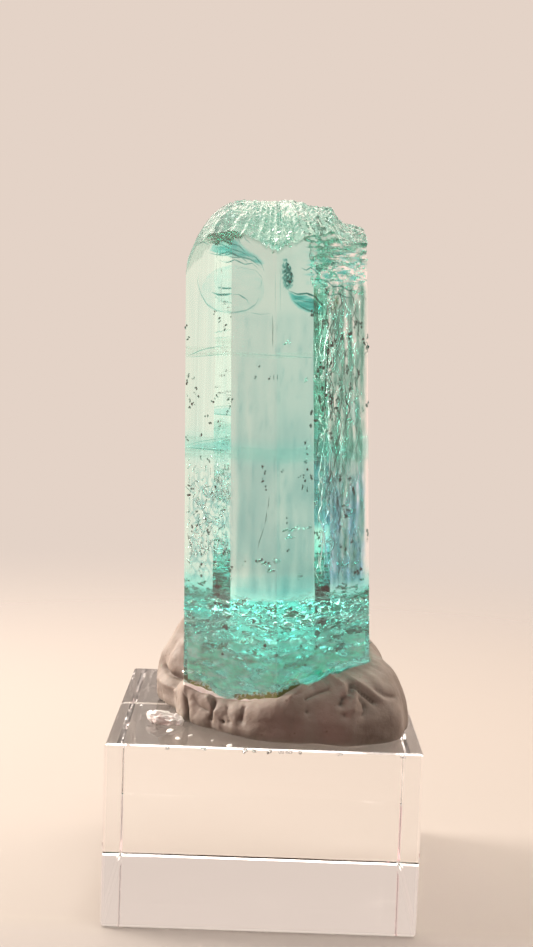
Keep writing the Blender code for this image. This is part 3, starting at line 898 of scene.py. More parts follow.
def build_growth_tubes(gas, dark):
    """Tubes drawn out along the crystal, thickest behind the right-hand front face."""
    rng = random.Random(5)
    for name, material, count in (("growth_tubes", gas, 240), ("filled_tubes", dark, 130)):
        bm = bmesh.new()
        for seed in range(count):
            across = rng.triangular(3.6, 9.3, 5.2) * MM
            top = rng.uniform(18.0, 46.5) * MM
            length = min(rng.expovariate(0.5) + 0.4, 7.0) * MM
            depth = rng.uniform(0.2, 2.6) * MM
            start = behind_face(across, top, depth)
            end = behind_face(across + rng.gauss(0.0, 0.12) * length, max(top - length, 15.5 * MM), depth)
            add_tube(bm, start, end, rng.uniform(0.03, 0.10) * MM, 0.6 * MM, seed * 1.7)
        sealed_piece(name, bm, material)
    bm = bmesh.new()
    for _ in range(180):
        across = rng.uniform(-9.1, -5.0) * MM
        height = rng.triangular(16.5, 30.0, 19.0) * MM
        length = rng.uniform(0.2, 1.1) * MM
        facing = Vector((rng.gauss(0.0, 0.3), -1.0, rng.gauss(0.0, 0.3)))
        middle = behind_face(across, height, rng.uniform(0.2, 2.0) * MM)
        size = (rng.uniform(0.08, 0.16) * MM, length, 0.12 * MM)
        add_lens(bm, middle, facing, size, rng.gauss(0.0, 0.7), 7, 0.15 * MM)
    sealed_piece("crackle", bm, gas)


def face_slab(name, material, across, heights, depth, thickness, cover, cells):
    """A body of colour just behind the front faces, whose thickness varies as cover(x mm, height mm) says."""
    bm = bmesh.new()
    bmesh.ops.create_grid(bm, x_segments=cells[0], y_segments=cells[1], size=0.5)
    for vert in bm.verts:
        x = across[0] + (across[1] - across[0]) * (vert.co.x + 0.5)
        height = heights[0] + (heights[1] - heights[0]) * (vert.co.y + 0.5)
        vert.co = behind_face(x * MM, height * MM, depth * MM)
        vert.co.z = min(vert.co.z, dome_height(vert.co.x, vert.co.y) - 0.5 * MM)
    grown = bmesh.ops.extrude_face_region(bm, geom=bm.faces[:], use_keep_orig=True)["geom"]
    for vert in (part for part in grown if isinstance(part, bmesh.types.BMVert)):
        x, height = vert.co.x / MM, vert.co.z / MM
        rim = smooth(0.0, 0.8, min(x - across[0], across[1] - x))
        rim *= smooth(0.0, 1.5, min(height - heights[0], heights[1] - height))
        vert.co.y += thickness * MM * max(0.02, rim * cover(x, height))
    bmesh.ops.recalc_face_normals(bm, faces=bm.faces)
    sealed_piece(name, bm, material)


def streaks(x, height, wide, tall, seed):
    """Noise of about -1 to 1, drawn out along the crystal."""
    return 2.0 * noise.noise(Vector((x / wide, height / tall, seed)))


def build_clouded_sides():
    """Darker growth behind the front faces: strong and streaky on the right, and faint elsewhere."""

    def right(x, height):
        body = 0.08 + 0.78 * smooth(5.0, 5.8, x)
        return body * (1.0 + 0.6 * streaks(x, height, 0.45, 4.0, 1.0) + 0.4 * streaks(x, height, 0.25, 1.0, 2.0))

    def low_right(x, height):
        body = smooth(3.8, 5.5, x) * (1.0 - smooth(23.0, 30.0, height))
        return body * (1.0 + 0.5 * streaks(x, height, 0.9, 3.0, 7.0) + 0.4 * streaks(x, height, 0.4, 0.7, 8.0))

    def middle(x, height):
        body = 0.3 + 0.7 * (1.0 - smooth(20.0, 40.0, height)) + 0.8 * (1.0 - smooth(14.5, 19.0, height))
        body *= 1.0 + 0.45 * streaks(x, height, 0.8, 7.0, 3.0) + 0.30 * streaks(x, height, 2.0, 3.0, 4.0)
        return body + 0.5 * max(0.0, streaks(x, height, 0.35, 1.5, 9.0) - 0.35)

    def left(x, height):
        fine = abs(noise.noise(Vector((x / 0.5, height / 0.8, 5.0))))
        cracks = 1.6 * max(0.0, 1.0 - 5.0 * fine) * (1.0 - smooth(24.0, 29.0, height))
        return 0.12 + 0.10 * streaks(x, height, 0.5, 9.0, 6.0) + cracks

    smoky = make_colour_zone("smoky_growth", (0.0, 0.55, 0.47), 3300.0)
    blue = make_colour_zone("blue_growth", (0.10, 0.66, 1.0), 1300.0)
    grey = make_colour_zone("grey_growth", (0.05, 0.60, 0.64), 1300.0)
    face_slab("clouded_low_right", blue, (3.9, 9.3), (14.6, 31.0), 0.85, 0.5, low_right, (60, 90))
    face_slab("clouded_right", smoky, (3.8, 9.35), (14.8, 47.0), 0.25, 0.5, right, (70, 110))
    face_slab("clouded_middle", grey, (-4.4, 4.2), (13.8, 44.0), 0.25, 0.5, middle, (40, 70))
    face_slab("clouded_left", grey, (-9.35, -4.2), (15.0, 47.5), 0.25, 0.5, left, (80, 240))


def inside(corners, x, height):
    """How far inside a drawn outline a place is, in millimetres, or 0 outside it."""
    crossings, nearest = 0, 100.0
    spot = Vector((x, height))
    for start, end in zip(corners, corners[1:] + corners[:1]):
        start, end = Vector(start), Vector(end)
        side = end - start
        along = min(1.0, max(0.0, (spot - start).dot(side) / side.length_squared))
        nearest = min(nearest, (spot - start - side * along).length)
        if (start.y > height) != (end.y > height):
            crossings += x < start.x + (height - start.y) / side.y * side.x
    return nearest if crossings % 2 else 0.0


def add_stroke(bm, points, width, thickness, depth):
    """A flat tube behind the front faces, through points (across, height), that tapers to both ends. All in mm."""
    joints = 4 * len(points)

    def place(step, row):
        share = row / (joints - 1)
        index = min(int(share * (len(points) - 1)), len(points) - 2)
        start, end = Vector(points[index]), Vector(points[index + 1])
        middle = start.lerp(end, share * (len(points) - 1) - index)
        side = Vector((start.y - end.y, end.x - start.x)).normalized()
        taper = math.sin(math.pi * share) ** 0.6
        taper *= 1.0 + 0.4 * noise.noise(Vector((*middle, 3.0)) * 1.7)
        turn = math.pi * step / 3.0
        middle += side * 0.5 * width * taper * math.cos(turn)
        return behind_face(middle.x * MM, middle.y * MM, (depth + 0.5 * thickness * taper * math.sin(turn)) * MM)

    gather(bm, lofted(6, joints, place))


EYELID = ((-6.9, 49.6), (-6.2, 50.9), (-4.9, 51.2), (-3.7, 50.6), (-2.9, 49.8), (-1.9, 49.2), (-1.0, 48.2),
          (-1.5, 47.9), (-2.6, 48.5), (-3.8, 48.7), (-5.0, 49.0), (-6.1, 49.3))
EYELID_LINES = (
    (((-6.9, 49.5), (-5.8, 49.2), (-4.6, 49.5), (-3.6, 49.0), (-2.4, 48.7), (-1.1, 47.7)), 0.22, 0.8),
    (((-6.6, 50.1), (-5.4, 50.3), (-4.4, 49.8), (-3.2, 49.4), (-2.0, 48.6)), 0.16, 0.6),
    (((-5.8, 48.7), (-4.8, 48.4), (-4.0, 48.7), (-3.0, 48.2), (-2.2, 48.3), (-1.4, 47.5)), 0.14, 0.7),
    (((-6.0, 50.9), (-4.9, 51.3), (-3.7, 50.8), (-3.2, 50.0)), 0.14, 0.5),
    (((-8.0, 50.2), (-7.3, 50.6), (-6.6, 50.2)), 0.12, 0.5),
    (((-5.3, 50.8), (-4.4, 50.3), (-3.6, 50.1), (-2.9, 49.4)), 0.12, 0.9),
    (((-4.8, 49.1), (-4.1, 48.9), (-3.3, 48.9), (-2.6, 48.3)), 0.12, 0.8),
    (((-3.2, 51.3), (-2.9, 50.7), (-2.3, 50.2)), 0.12, 0.7),
    (((-2.6, 49.2), (-1.9, 48.9), (-1.3, 48.2), (-1.0, 47.4)), 0.10, 0.8),
)
BOWL_LINES = (
    (((-4.9, 47.6), (-3.4, 47.9), (-1.9, 47.6), (-1.2, 46.8), (-1.4, 45.9), (-2.2, 45.4)), 0.10, 0.22),
    (((-7.7, 47.5), (-7.9, 46.5), (-7.5, 45.2), (-6.9, 44.2), (-5.9, 43.6), (-4.3, 43.3), (-2.6, 43.5)), 0.13, 0.35),
    (((-6.5, 45.5), (-5.7, 45.2), (-4.9, 45.2), (-4.2, 45.3)), 0.26, 1.1),
    (((-4.4, 45.2), (-3.6, 45.2), (-2.8, 44.7), (-2.5, 44.1)), 0.16, 0.45),
    (((-5.6, 43.7), (-4.2, 43.4), (-2.8, 43.6), (-1.9, 44.2), (-1.5, 45.0)), 0.16, 0.40),
    (((-2.6, 43.4), (-1.4, 43.2), (-0.2, 43.3)), 0.10, 0.25),
    (((0.1, 48.6), (0.1, 46.6), (0.1, 44.8), (0.1, 43.0)), 0.12, 0.12),
    (((0.1, 43.4), (0.05, 33.0), (0.0, 23.0), (0.0, 13.5)), 0.12, 0.045),
)
RIGHT_BOWL = ((0.9, 45.6), (1.7, 45.2), (2.6, 45.2), (3.4, 45.0), (4.2, 44.2), (4.9, 43.5), (3.8, 43.2),
              (2.9, 43.3), (2.0, 43.8), (1.3, 44.5))
RIGHT_BOWL_LINES = (
    (((0.8, 45.6), (1.8, 45.2), (2.8, 45.3), (3.6, 45.0), (4.3, 44.2), (5.0, 43.4)), 0.24, 1.6),
    (((1.3, 44.6), (2.3, 43.9), (3.2, 43.5), (4.2, 43.2), (5.0, 43.3)), 0.24, 1.0),
    (((1.4, 44.9), (2.5, 44.5), (3.4, 44.4), (4.3, 43.7)), 0.10, 0.6),
    (((2.1, 47.9), (2.7, 47.6), (3.2, 47.9), (3.8, 47.4), (4.6, 47.5)), 0.14, 0.9),
    (((4.2, 46.3), (4.9, 46.6), (5.5, 46.0), (6.4, 46.1), (7.2, 45.6), (8.1, 45.7)), 0.20, 1.2),
    (((3.6, 46.9), (4.4, 46.2), (4.9, 45.6), (5.1, 44.9)), 0.18, 1.0),
    (((6.2, 47.3), (7.0, 47.0), (7.7, 47.2), (8.6, 46.8)), 0.16, 1.0),
    (((4.4, 48.6), (5.2, 48.3), (5.9, 48.5), (6.8, 48.0)), 0.16, 0.9),
    (((5.2, 49.6), (6.0, 49.2), (6.6, 49.4)), 0.14, 0.7),
    (((4.3, 45.4), (5.2, 45.1), (6.1, 45.3), (6.9, 44.9), (7.9, 45.0)), 0.16, 1.1),
)
PITTED_PATCH = ((0.4, 48.8), (0.9, 48.9), (1.4, 47.8), (1.7, 46.9), (1.6, 45.9), (1.1, 45.5), (0.6, 45.6), (0.3, 46.8))
STAIN = ((5.0, 43.8), (5.6, 43.9), (5.7, 44.9), (6.2, 45.4), (6.4, 44.4), (5.9, 43.6), (5.3, 43.3))


def build_bowls(glint):
    """The conchoidal cracks below the dome: two shallow bowls, an arched one on the left and a dark pitted one."""

    def left(x, height):
        bowl = 0.0
        rim = math.hypot((x + 4.4) / 3.2, (height - 45.6) / 2.5)
        if rim < 1.0:
            bowl = 0.07 + 0.13 * rim**6
        arch = smooth(0.0, 0.35, inside(EYELID, x, height)) * (1.0 + 0.8 * streaks(x, height, 0.9, 0.35, 31.0))
        return bowl * (1.0 + 0.5 * streaks(x, height, 0.8, 0.4, 32.0)) + arch

    def right(x, height):
        bowl = 2.4 * smooth(0.0, 0.25, inside(RIGHT_BOWL, x, height)) * (1.0 + 0.5 * streaks(x, height, 1.0, 0.3, 33.0))
        shelves = ripple_share(x * MM, height * MM) * (0.1 + 1.2 * streaks(x, height, 0.9, 0.28, 34.0))
        return bowl + max(0.0, shelves)

    def pitted(x, height):
        spots = max(0.0, 1.3 + 1.6 * streaks(x, height, 0.20, 0.24, 35.0))
        return smooth(0.0, 0.2, inside(PITTED_PATCH, x, height)) * spots

    def stained(x, height):
        return smooth(0.0, 0.2, inside(STAIN, x, height)) * (1.0 + 0.9 * streaks(x, height, 0.25, 0.4, 36.0))

    blue = make_colour_zone("fracture_blue", (0.0, 0.80, 0.79), 2000.0)
    deep = make_colour_zone("fracture_green", (0.0, 0.60, 0.58), 6000.0)
    brown = make_colour_zone("fracture_stain", (0.62, 0.50, 0.32), 5000.0)
    face_slab("arched_crack", blue, (-8.0, -0.3), (42.6, 51.6), 0.35, 0.6, left, (80, 94))
    face_slab("bowl_crack", blue, (0.5, 9.2), (42.8, 50.6), 0.40, 0.6, right, (90, 80))
    face_slab("pitted_crack", deep, (0.2, 1.9), (45.3, 49.1), 0.25, 0.5, pitted, (28, 60))
    face_slab("stained_crack", brown, (4.8, 6.6), (43.1, 45.6), 0.25, 0.4, stained, (28, 40))
    bm = bmesh.new()
    for points, width, thickness in EYELID_LINES + BOWL_LINES + RIGHT_BOWL_LINES:
        add_stroke(bm, points, width, 0.5 * thickness, 1.3)
    sealed_piece("crack_edges", bm, deep)
    rng = random.Random(77)
    bm = bmesh.new()
    for low, high, start, end, count in ((-0.4, 1.6, 49.0, 52.3, 20), (4.2, 9.0, 45.2, 50.0, 150)):
        for _ in range(count):
            across = rng.uniform(low, high)
            height = rng.uniform(start, end) if low > 0.0 else rng.gauss(50.2, 0.7)
            size = (rng.uniform(0.12, 0.40) * MM, rng.uniform(0.3, 0.6) * MM, 0.04 * MM)
            tilt = glint_tilt(rng, 0.15, across * MM)
            add_lens(bm, behind_face(across * MM, height * MM, 0.45 * MM), tilt, size, 0.0, 7)
    sealed_piece("crack_glints", bm, glint)


# -------------------------------------------------------------------------------- tack

TACK_AROUND = 480
UNDER_ROWS, EDGE_ROWS, FLANK_ROWS, WALL_ROWS, SEAT_ROWS = 5, 9, 62, 10, 6
TACK_CREASES = (  # through (degrees, mm up), depth (mm), width (mm)
    (((294.3, 6.2), (294.6, 5.4), (289.9, 5.0), (285.4, 4.6), (281.9, 4.3), (280.2, 3.9), (282.4, 3.2)), 0.42, 0.26),
    (((303.5, 5.6), (300.7, 5.1), (297.1, 4.6), (296.0, 4.1)), 0.60, 0.30),
    (((304.3, 5.3), (306.5, 4.8), (308.9, 4.2)), 0.50, 0.26),
    (((303.8, 4.5), (304.6, 3.9), (304.2, 3.4), (303.2, 3.1)), 0.40, 0.22),
    (((289.3, 5.5), (282.8, 4.9), (276.7, 4.3)), 0.20, 0.22),
    (((296.4, 3.2), (296.6, 3.0)), 0.35, 0.20),
    (((237.2, 3.0), (236.9, 2.4), (236.2, 1.1)), 0.55, 0.30),
    (((245.2, 3.0), (245.6, 2.4), (247.8, 1.4)), 0.25, 0.26),
    (((254.8, 3.1), (254.6, 2.5), (254.0, 1.8)), 0.38, 0.28),
    (((243.8, 1.3), (244.2, 1.2)), 0.55, 0.22),
    (((224.0, 3.0), (228.0, 2.2), (233.0, 1.9)), 0.35, 0.50),
    (((217.0, 3.4), (219.4, 1.6), (220.0, 0.6)), 0.80, 0.40),
    (((175.0, 3.9), (178.0, 3.6), (186.0, 3.6), (206.0, 4.3)), 0.90, 0.36),
    (((195.0, 2.8), (199.0, 1.8), (202.0, 0.6)), 0.45, 0.34),
    (((312.4, 5.3), (314.5, 4.8), (319.0, 4.5)), 0.35, 0.30),
    (((352.0, 7.0), (356.0, 2.0)), 0.35, 0.60),
    (((20.0, 6.5), (32.0, 5.9), (44.0, 4.0)), 0.50, 0.50),
    (((66.0, 3.2), (72.0, 1.4)), 0.40, 0.45),
    (((100.0, 2.4), (116.0, 2.9), (128.0, 3.2)), 0.45, 0.45),
    (((140.0, 6.0), (143.0, 4.0), (146.0, 1.5)), 0.45, 0.50),
)
TACK_FOLDS = (  # the same, raised: rolls of tack pushed up along the crystal
    (((276.0, 4.2), (283.0, 5.2), (290.0, 5.6), (294.0, 6.3)), 0.40, 0.40),
    (((296.5, 6.3), (299.5, 5.5), (299.0, 4.9)), 0.50, 0.42),
    (((303.0, 5.1), (301.0, 4.4), (299.5, 3.6)), 0.45, 0.45),
    (((305.5, 5.9), (309.0, 5.3), (312.0, 4.4)), 0.35, 0.50),
    (((232.0, 3.0), (238.0, 2.0)), 0.30, 0.70),
    (((176.0, 2.4), (192.0, 2.3), (206.0, 2.6)), 0.55, 0.80),
)


def tack_rim(degrees):
    """(reach, climb, hollow) of the tack in a direction, eased between the rows of its table."""
    for (start, *before), (end, *after) in zip(TACK_RIM, TACK_RIM[1:]):
        if start <= degrees <= end:
            share = smooth(start, end, degrees)
            reach, climb, hollow = (a + (b - a) * share for a, b in zip(before, after))
            return reach * MM, climb * MM, hollow
    return None


def mark_depth(degrees, height, lines):
    """How deep the drawn lines press at a place on the flank: steepest along the line itself."""
    depth = 0.0
    spread = math.radians(1.0) * 12.5  # mm for each degree
    for points, deep, width in lines:
        if not points[0][0] - 12.0 < degrees < points[-1][0] + 12.0 and abs(points[0][0] - points[-1][0]) > 2.0:
            continue
        nearest = 9.0
        for (turn, up), (next_turn, next_up) in zip(points, points[1:]):
            along_x, along_y = (next_turn - turn) * spread, next_up - up
            away_x, away_y = (degrees - turn) * spread, height / MM - up
            share = (away_x * along_x + away_y * along_y) / (along_x**2 + along_y**2)
            share = min(1.0, max(0.0, share))
            nearest = min(nearest, math.hypot(away_x - along_x * share, away_y - along_y * share))
        depth += deep * MM * math.exp(-1.4 * nearest / width)
    return depth


def tack_surface(degrees, rise):
    """A point of the tack's flank: out from its middle, and up from the block."""
    reach, climb, hollow = tack_rim(degrees)
    turn = math.radians(degrees)
    way = Vector((math.cos(turn), math.sin(turn)))
    height = TACK_EDGE + (climb - TACK_EDGE) * math.sin(rise)
    wall = wall_reach(way, height)
    out = wall + (reach - wall) * math.cos(rise) ** hollow
    around = Vector((*way, 0.0))
    bulge = 0.45 * MM * noise.noise(around * 3.0 + Vector((0.0, 0.0, height / (9.0 * MM))))
    bulge += 0.22 * MM * noise.noise(around * 7.0 + Vector((0.0, 0.0, height / (2.2 * MM))))
    bulge += 0.05 * MM * noise.noise(around * 24.0 + Vector((0.0, 0.0, height / (0.7 * MM))))
    bulge += mark_depth(degrees, height, TACK_FOLDS)
    bulge -= mark_depth(degrees, height, TACK_CREASES)
    bulge *= 1.0 - smooth(0.93, 1.0, rise / math.radians(90.0))
    return way, out + bulge * math.cos(rise), height + bulge * math.sin(rise)


def wall_reach(way, height):
    """Distance from the tack's middle to the crystal at a height above the block."""
    shift = STANDS_AT.xy - TACK_MIDDLE - Vector((height * math.sin(LEAN), 0.0))
    corners = [corner * section_scale(height) + shift for corner in prism_corners()]
    return reach_along(way, corners) + TACK_GAP


def build_tack(material):
    flank_from = UNDER_ROWS + EDGE_ROWS
    wall_from = flank_from + FLANK_ROWS
    seat_from = wall_from + WALL_ROWS
    rows = seat_from + SEAT_ROWS + 1
    hidden = set()
    crease_shade = {}

    def place(step, row):
        degrees = 360.0 * step / TACK_AROUND
        way, edge, _ = tack_surface(degrees, 0.0)
        if row < UNDER_ROWS:
            out, height = (edge - TACK_TUCK) * row / UNDER_ROWS, 0.0
        elif row < flank_from:
            tuck = math.radians(90.0) * (1.0 - (row - UNDER_ROWS) / EDGE_ROWS)
            out = edge - TACK_TUCK * (1.0 - math.cos(tuck))
            height = TACK_EDGE * (1.0 - math.sin(tuck))
        elif row <= wall_from:
            rise = math.radians(90.0) * (row - flank_from) / FLANK_ROWS
            way, out, height = tack_surface(degrees, rise)
        elif row <= seat_from:
            climb = tack_rim(degrees)[1]
            low = foot_height(*(way * reach_along(way)))
            height = climb + (low - TACK_GAP - climb) * (row - wall_from) / WALL_ROWS
            out = wall_reach(way, height)
        else:
            share = 1.0 - (row - seat_from) / SEAT_ROWS
            flat = way * reach_along(way) * share
            height = foot_height(*flat) - TACK_GAP
            spot = STAND @ Vector((*(flat * section_scale(height)), height - TACK_GAP))
            hidden.add(spot.freeze())
            return spot
        flat = TACK_MIDDLE + way * out
        spot = Vector((*flat, BLOCK_TOP + TACK_GAP + height)).freeze()
        if row > wall_from:
            hidden.add(spot)
        # how deep each spot lies in a crease, which the material darkens as painted shade
        crease_shade[spot] = min(1.0, mark_depth(degrees, height, TACK_CREASES) / (0.5 * MM))
        return spot

    bm = lofted(TACK_AROUND, rows, place)
    pressed = bm.verts.layers.float.new("pressed")
    creased = bm.verts.layers.float.new("creased")
    for vert in bm.verts:
        spot = vert.co.copy().freeze()
        vert[pressed] = 1.0 if spot in hidden else 0.0
        vert[creased] = crease_shade.get(spot, 0.0)
    tack = add_piece("pressed_tack", bm, material)
    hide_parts("mineral_tack")


def build_crumb(material):
    """A torn flake of tack on the block beside the lump."""
    low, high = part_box("tack_crumb")
    size = Vector((3.7, 1.6, 1.5)) * MM
    bm = bmesh.new()
    bmesh.ops.create_icosphere(bm, subdivisions=5, radius=0.5)
    for vert in bm.verts:
        along = vert.co.x
        ragged = 1.0 + 0.45 * noise.noise(vert.co * 5.0) + 0.25 * noise.noise(vert.co * 11.0)
        spot = Vector((vert.co.x * (1.0 + 0.10 * ragged), vert.co.y * ragged, vert.co.z * ragged))
        spot = Vector((spot.x * size.x, spot.y * size.y * (1.0 + 1.1 * along), spot.z * size.z))
        spot.y += 0.35 * MM * math.sin(5.0 * along)
        spot.z += 0.5 * MM * (0.5 - along) ** 2
        vert.co = Vector((spot.x, spot.y, max(spot.z, -0.28 * MM)))
    bmesh.ops.rotate(bm, cent=(0, 0, 0), matrix=Matrix.Rotation(math.radians(-24), 3, "Z"), verts=bm.verts)
    middle = (low + high) / 2.0
    place = Vector((middle.x, middle.y, BLOCK_TOP + 0.31 * MM))
    bmesh.ops.translate(bm, vec=place, verts=bm.verts)
    crumb = add_piece("torn_flake", bm, material)
    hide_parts("tack_crumb")


# ------------------------------------------------------------------------------- stage
EDGE_CHIPS = ((-2.0, 0.7), (-1.1, 0.4), (0.5, 0.6), (1.5, 0.3), (2.5, 0.5), (3.6, 0.35), (7.7, 0.3), (13.8, 0.6),
              (-9.6, 0.3), (-6.0, 0.3))  # across, length (mm)
SMEARS = ((-9.8, -10.6, 1.5), (-8.8, -13.3, 1.1), (-7.6, -12.1, 0.8), (-3.5, -15.2, 1.3), (-5.3, -13.6, 0.6))


def build_block_marks(fresh):
    """Small chips out of the block's front top edge, and thin smears of tack on its top."""
    rng = random.Random(31)
    bm = bmesh.new()
    for across, length in EDGE_CHIPS:
        for _ in range(3):
            middle = Vector((across + rng.gauss(0.0, 0.12), -15.72 + rng.gauss(0.0, 0.04), 18.72)) * MM
            facing = Vector((rng.gauss(0.0, 0.5), -1.0, rng.gauss(1.0, 0.4)))
            add_lens(bm, middle, facing, (length * MM, 0.3 * MM, 0.06 * MM), rng.gauss(0.0, 0.4), 8, 0.12 * MM)
    chip = make_gas("edge_chip", 0.15)
    chip.node_tree.nodes["Glass BSDF"].inputs["IOR"].default_value = 1.0 / ACRYLIC_IOR
    add_piece("edge_chips", bm, chip)
    bm = bmesh.new()
    for across, depth, length in SMEARS:
        middle = Vector((across * MM, depth * MM, BLOCK_TOP + 0.06 * MM))
        size = (length * MM, 0.45 * length * MM, 0.10 * MM)
        add_lens(bm, middle, Vector((0.0, 0.0, 1.0)), size, rng.gauss(1.2, 0.3), 24)
    add_piece("tack_smears", bm, fresh)


# ------------------------------------------------------------------------------- stage

BACKDROP = (0.775, 0.651, 0.571)
FLOOR_DROP = -0.05 * MM  # so that the block's underside doesn't lie in the floor


def build_stage():
    bm = bmesh.new()
    bmesh.ops.create_circle(bm, cap_ends=True, segments=96, radius=0.9)
    mesh = bpy.data.meshes.new("floor")
    bm.to_mesh(mesh)
    bm.free()
    mesh.transform(Matrix.Translation((0.0, 0.0, FLOOR_DROP)))
    floor = bpy.data.objects.new("floor", mesh)
    bpy.context.scene.collection.objects.link(floor)
    material, tree, shader = new_material("floor")
    shader.inputs["Base Color"].default_value = (0.41, 0.375, 0.34, 1.0)
    shader.inputs["Roughness"].default_value = 0.8
    shader.inputs["Specular IOR Level"].default_value = 0.1
    coords = tree.nodes.new("ShaderNodeTexCoord")
    length = tree.nodes.new("ShaderNodeVectorMath")
    length.operation = "LENGTH"
    fade = tree.nodes.new("ShaderNodeMapRange")
    fade.interpolation_type = "SMOOTHSTEP"
    fade.inputs["From Min"].default_value = 0.06
    fade.inputs["From Max"].default_value = 0.24
    fade.inputs["To Min"].default_value = 1.0
    fade.inputs["To Max"].default_value = 0.0
    tree.links.new(coords.outputs["Object"], length.inputs[0])
    tree.links.new(length.outputs["Value"], fade.inputs["Value"])
    depth = tree.nodes.new("ShaderNodeSeparateXYZ")
    tree.links.new(coords.outputs["Object"], depth.inputs["Vector"])
    behind = remap(tree, depth.outputs["Y"], (-0.030, -0.014), (0.0, 1.0))  # the front is left dark
    tree.links.new(calculate(tree, "MULTIPLY", fade.outputs["Result"], behind), shader.inputs["Alpha"])
    mesh.materials.append(material)


def build_world():
    world = bpy.data.worlds.new("studio")
    bpy.context.scene.world = world
    world.use_nodes = True
    tree = world.node_tree
    nodes, links = tree.nodes, tree.links
    nodes.clear()
    coords = nodes.new("ShaderNodeTexCoord")
    split = nodes.new("ShaderNodeSeparateXYZ")
    links.new(coords.outputs["Generated"], split.inputs["Vector"])
    forward = nodes.new("ShaderNodeMapRange")
    forward.inputs["From Min"].default_value = -1.0
    links.new(split.outputs["Y"], forward.inputs["Value"])
    walls = nodes.new("ShaderNodeValToRGB")
    ramp = walls.color_ramp
    ramp.elements[0].position = 0.0
    ramp.elements[0].color = (*(Vector(BACKDROP) * 0.10), 1.0)
    ramp.elements[1].position = 1.0
    ramp.elements[1].color = (*BACKDROP, 1.0)
    for y, level in ((-0.75, 0.15), (-0.30, 0.55), (0.30, 1.0)):
        stop = ramp.elements.new((y + 1.0) / 2.0)
        stop.color = (*(Vector(BACKDROP) * level), 1.0)
    links.new(forward.outputs["Result"], walls.inputs["Fac"])
    table = nodes.new("ShaderNodeValToRGB")
    ramp = table.color_ramp
    ramp.interpolation = "EASE"
    ramp.elements[0].color = (0.0, 0.0, 0.0, 1.0)
    ramp.elements[1].color = (0.0, 0.0, 0.0, 1.0)
    glow = ((-0.33, 0.0), (-0.28, 1.3), (-0.215, 1.3), (-0.185, 0.0), (0.40, 0.0), (0.48, 4.8), (0.68, 4.8), (0.80, 0.0))
    for z, level in glow:
        stop = ramp.elements.new((z + 1.0) / 2.0)
        stop.color = (*(Vector(BACKDROP) * level), 1.0)
    upward = nodes.new("ShaderNodeMapRange")
    upward.inputs["From Min"].default_value = -1.0
    links.new(split.outputs["Z"], upward.inputs["Value"])
    links.new(upward.outputs["Result"], table.inputs["Fac"])
    sides = nodes.new("ShaderNodeValToRGB")
    ramp = sides.color_ramp
    ramp.elements[0].color = (0.0, 0.0, 0.0, 1.0)
    ramp.elements[1].color = (0.0, 0.0, 0.0, 1.0)
    for y, level in ((-0.80, 0.0), (-0.62, 0.77), (-0.42, 1.6), (-0.10, 0.3)):
        stop = ramp.elements.new((y + 1.0) / 2.0)
        stop.color = (*(Vector(BACKDROP) * level), 1.0)
    links.new(forward.outputs["Result"], sides.inputs["Fac"])
    steep = nodes.new("ShaderNodeMath")
    steep.operation = "ABSOLUTE"
    links.new(split.outputs["Z"], steep.inputs[0])
    level = nodes.new("ShaderNodeMapRange")
    level.interpolation_type = "SMOOTHSTEP"
    level.inputs["From Min"].default_value = 0.20
    level.inputs["From Max"].default_value = 0.55
    level.inputs["To Min"].default_value = 1.0
    level.inputs["To Max"].default_value = 0.0
    links.new(steep.outputs["Value"], level.inputs["Value"])
    side_light = nodes.new("ShaderNodeVectorMath")
    side_light.operation = "SCALE"
    links.new(sides.outputs["Color"], side_light.inputs[0])
    links.new(level.outputs["Result"], side_light.inputs["Scale"])
    leftwards = nodes.new("ShaderNodeMapRange")
    leftwards.inputs["From Min"].default_value = -0.5
    leftwards.inputs["From Max"].default_value = 0.5
    links.new(split.outputs["X"], leftwards.inputs["Value"])
    tint = nodes.new("ShaderNodeMix")
    tint.data_type = "RGBA"
    tint.inputs[6].default_value = (1.85, 0.78, 0.88, 1.0)
    tint.inputs[7].default_value = (1.22, 0.86, 0.885, 1.0)
    links.new(leftwards.outputs["Result"], tint.inputs["Factor"])
    tinted = nodes.new("ShaderNodeVectorMath")
    tinted.operation = "MULTIPLY"
    links.new(side_light.outputs["Vector"], tinted.inputs[0])
    links.new(tint.outputs[2], tinted.inputs[1])
    scale = nodes.new("ShaderNodeVectorMath")
    links.new(walls.outputs["Color"], scale.inputs[0])
    links.new(tinted.outputs["Vector"], scale.inputs[1])
    behind = nodes.new("ShaderNodeMapRange")
    behind.interpolation_type = "SMOOTHSTEP"
    behind.inputs["From Min"].default_value = -0.25
    behind.inputs["From Max"].default_value = 0.4
    links.new(split.outputs["Y"], behind.inputs["Value"])
    table_share = nodes.new("ShaderNodeVectorMath")
    table_share.operation = "SCALE"
    links.new(table.outputs["Color"], table_share.inputs[0])
    links.new(behind.outputs["Result"], table_share.inputs["Scale"])
    table_light = nodes.new("ShaderNodeVectorMath")
    links.new(scale.outputs["Vector"], table_light.inputs[0])
    links.new(table_share.outputs["Vector"], table_light.inputs[1])
    lit = nodes.new("ShaderNodeBackground")
    links.new(table_light.outputs["Vector"], lit.inputs["Color"])
    seen = nodes.new("ShaderNodeBackground")
    seen.inputs["Color"].default_value = (*BACKDROP, 1.0)
    path = nodes.new("ShaderNodeLightPath")
    mix = nodes.new("ShaderNodeMixShader")
    links.new(path.outputs["Is Camera Ray"], mix.inputs["Fac"])
    links.new(lit.outputs["Background"], mix.inputs[1])
    links.new(seen.outputs["Background"], mix.inputs[2])
    out = nodes.new("ShaderNodeOutputWorld")
    links.new(mix.outputs["Shader"], out.inputs["Surface"])


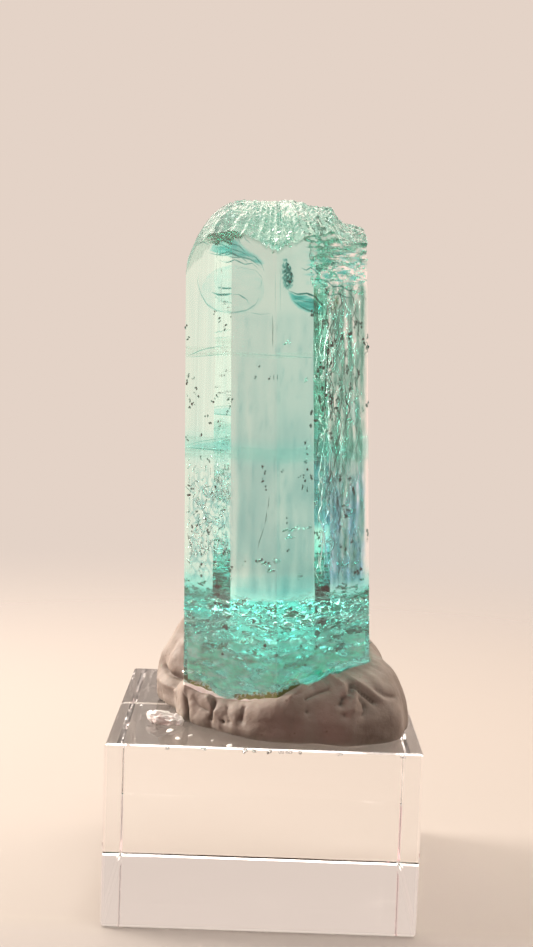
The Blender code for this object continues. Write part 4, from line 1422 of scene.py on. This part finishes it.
def add_softbox(name, place, target, size, power, colour):
    light = bpy.data.lights.new(name, "AREA")
    light.shape = "RECTANGLE"
    light.size, light.size_y = size
    light.energy = power
    light.color = colour
    box = bpy.data.objects.new(name, light)
    bpy.context.scene.collection.objects.link(box)
    box.location = place
    box.rotation_euler = (Vector(target) - Vector(place)).to_track_quat("-Z", "Y").to_euler()
    box.visible_camera = False
    return box


def build_lights():
    middle = (0.0, 0.0, 0.045)
    add_softbox("over_back", (-0.10, 0.16, 0.36), middle, (0.30, 0.30), 0.6, (1.0, 0.93, 0.86))
    add_softbox("over_front", (0.03, -0.05, 0.40), middle, (0.08, 0.08), 0.40, (1.0, 0.96, 0.92))
    add_softbox("left_key", (-0.30, 0.09, 0.15), middle, (0.14, 0.14), 1.7, (1.0, 0.92, 0.84))


def build_camera():
    camera = bpy.data.cameras.new("camera")
    camera.sensor_width = 36.0
    camera.lens = 1456.0 / 947.0 * camera.sensor_width
    camera.clip_start = 0.01
    pitch, roll = math.radians(6.1), math.radians(2.0)
    forward = Vector((0.0, math.cos(pitch), -math.sin(pitch)))
    up = Vector((0.0, math.sin(pitch), math.cos(pitch)))
    turn = Matrix((forward.cross(up), up, -forward)).transposed().to_4x4()
    eye = bpy.data.objects.new("camera", camera)
    eye.matrix_world = Matrix.Translation((-0.75 * MM, -157.4 * MM, 61.8 * MM)) @ turn @ Matrix.Rotation(roll, 4, "Z")
    bpy.context.scene.collection.objects.link(eye)
    bpy.context.scene.camera = eye


def set_light_paths():
    cycles = bpy.context.scene.cycles
    cycles.max_bounces = 32
    cycles.transmission_bounces = 32
    cycles.glossy_bounces = 16
    cycles.diffuse_bounces = 6
    cycles.transparent_max_bounces = 32
    bpy.context.scene.view_settings.view_transform = "Standard"


def main():
    build_camera()
    set_light_paths()
    build_world()
    build_stage()
    build_lights()
    beryl, acrylic, tack = make_beryl(), make_acrylic(), make_tack_material()
    build_crystal(beryl)
    gas = make_gas("gas_film")
    glint = make_film("bright_film", (0.85, 1.0, 0.95), 0.05, (1.0, 1.0), 1.0 * MM)
    film = make_film("healed_film", (0.62, 0.88, 0.80), 0.15, (0.1, 0.4), 2.5 * MM)
    dark = make_colour_zone("dark_inclusion", (0.0, 0.36, 0.32), 17000.0)
    build_colour_zones()
    build_foot_cracks(glint)
    build_foot_cloud()
    build_partings(film)
    build_dark_flecks(dark)
    build_growth_tubes(gas, dark)
    build_clouded_sides()
    build_bowls(glint)
    build_parting_edges(glint)
    build_tack(tack)
    fresh = make_fresh_tack()
    build_crumb(fresh)
    build_block_marks(fresh)
    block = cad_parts["acrylic_block"]
    block.data.materials.clear()
    block.data.materials.append(acrylic)


main()
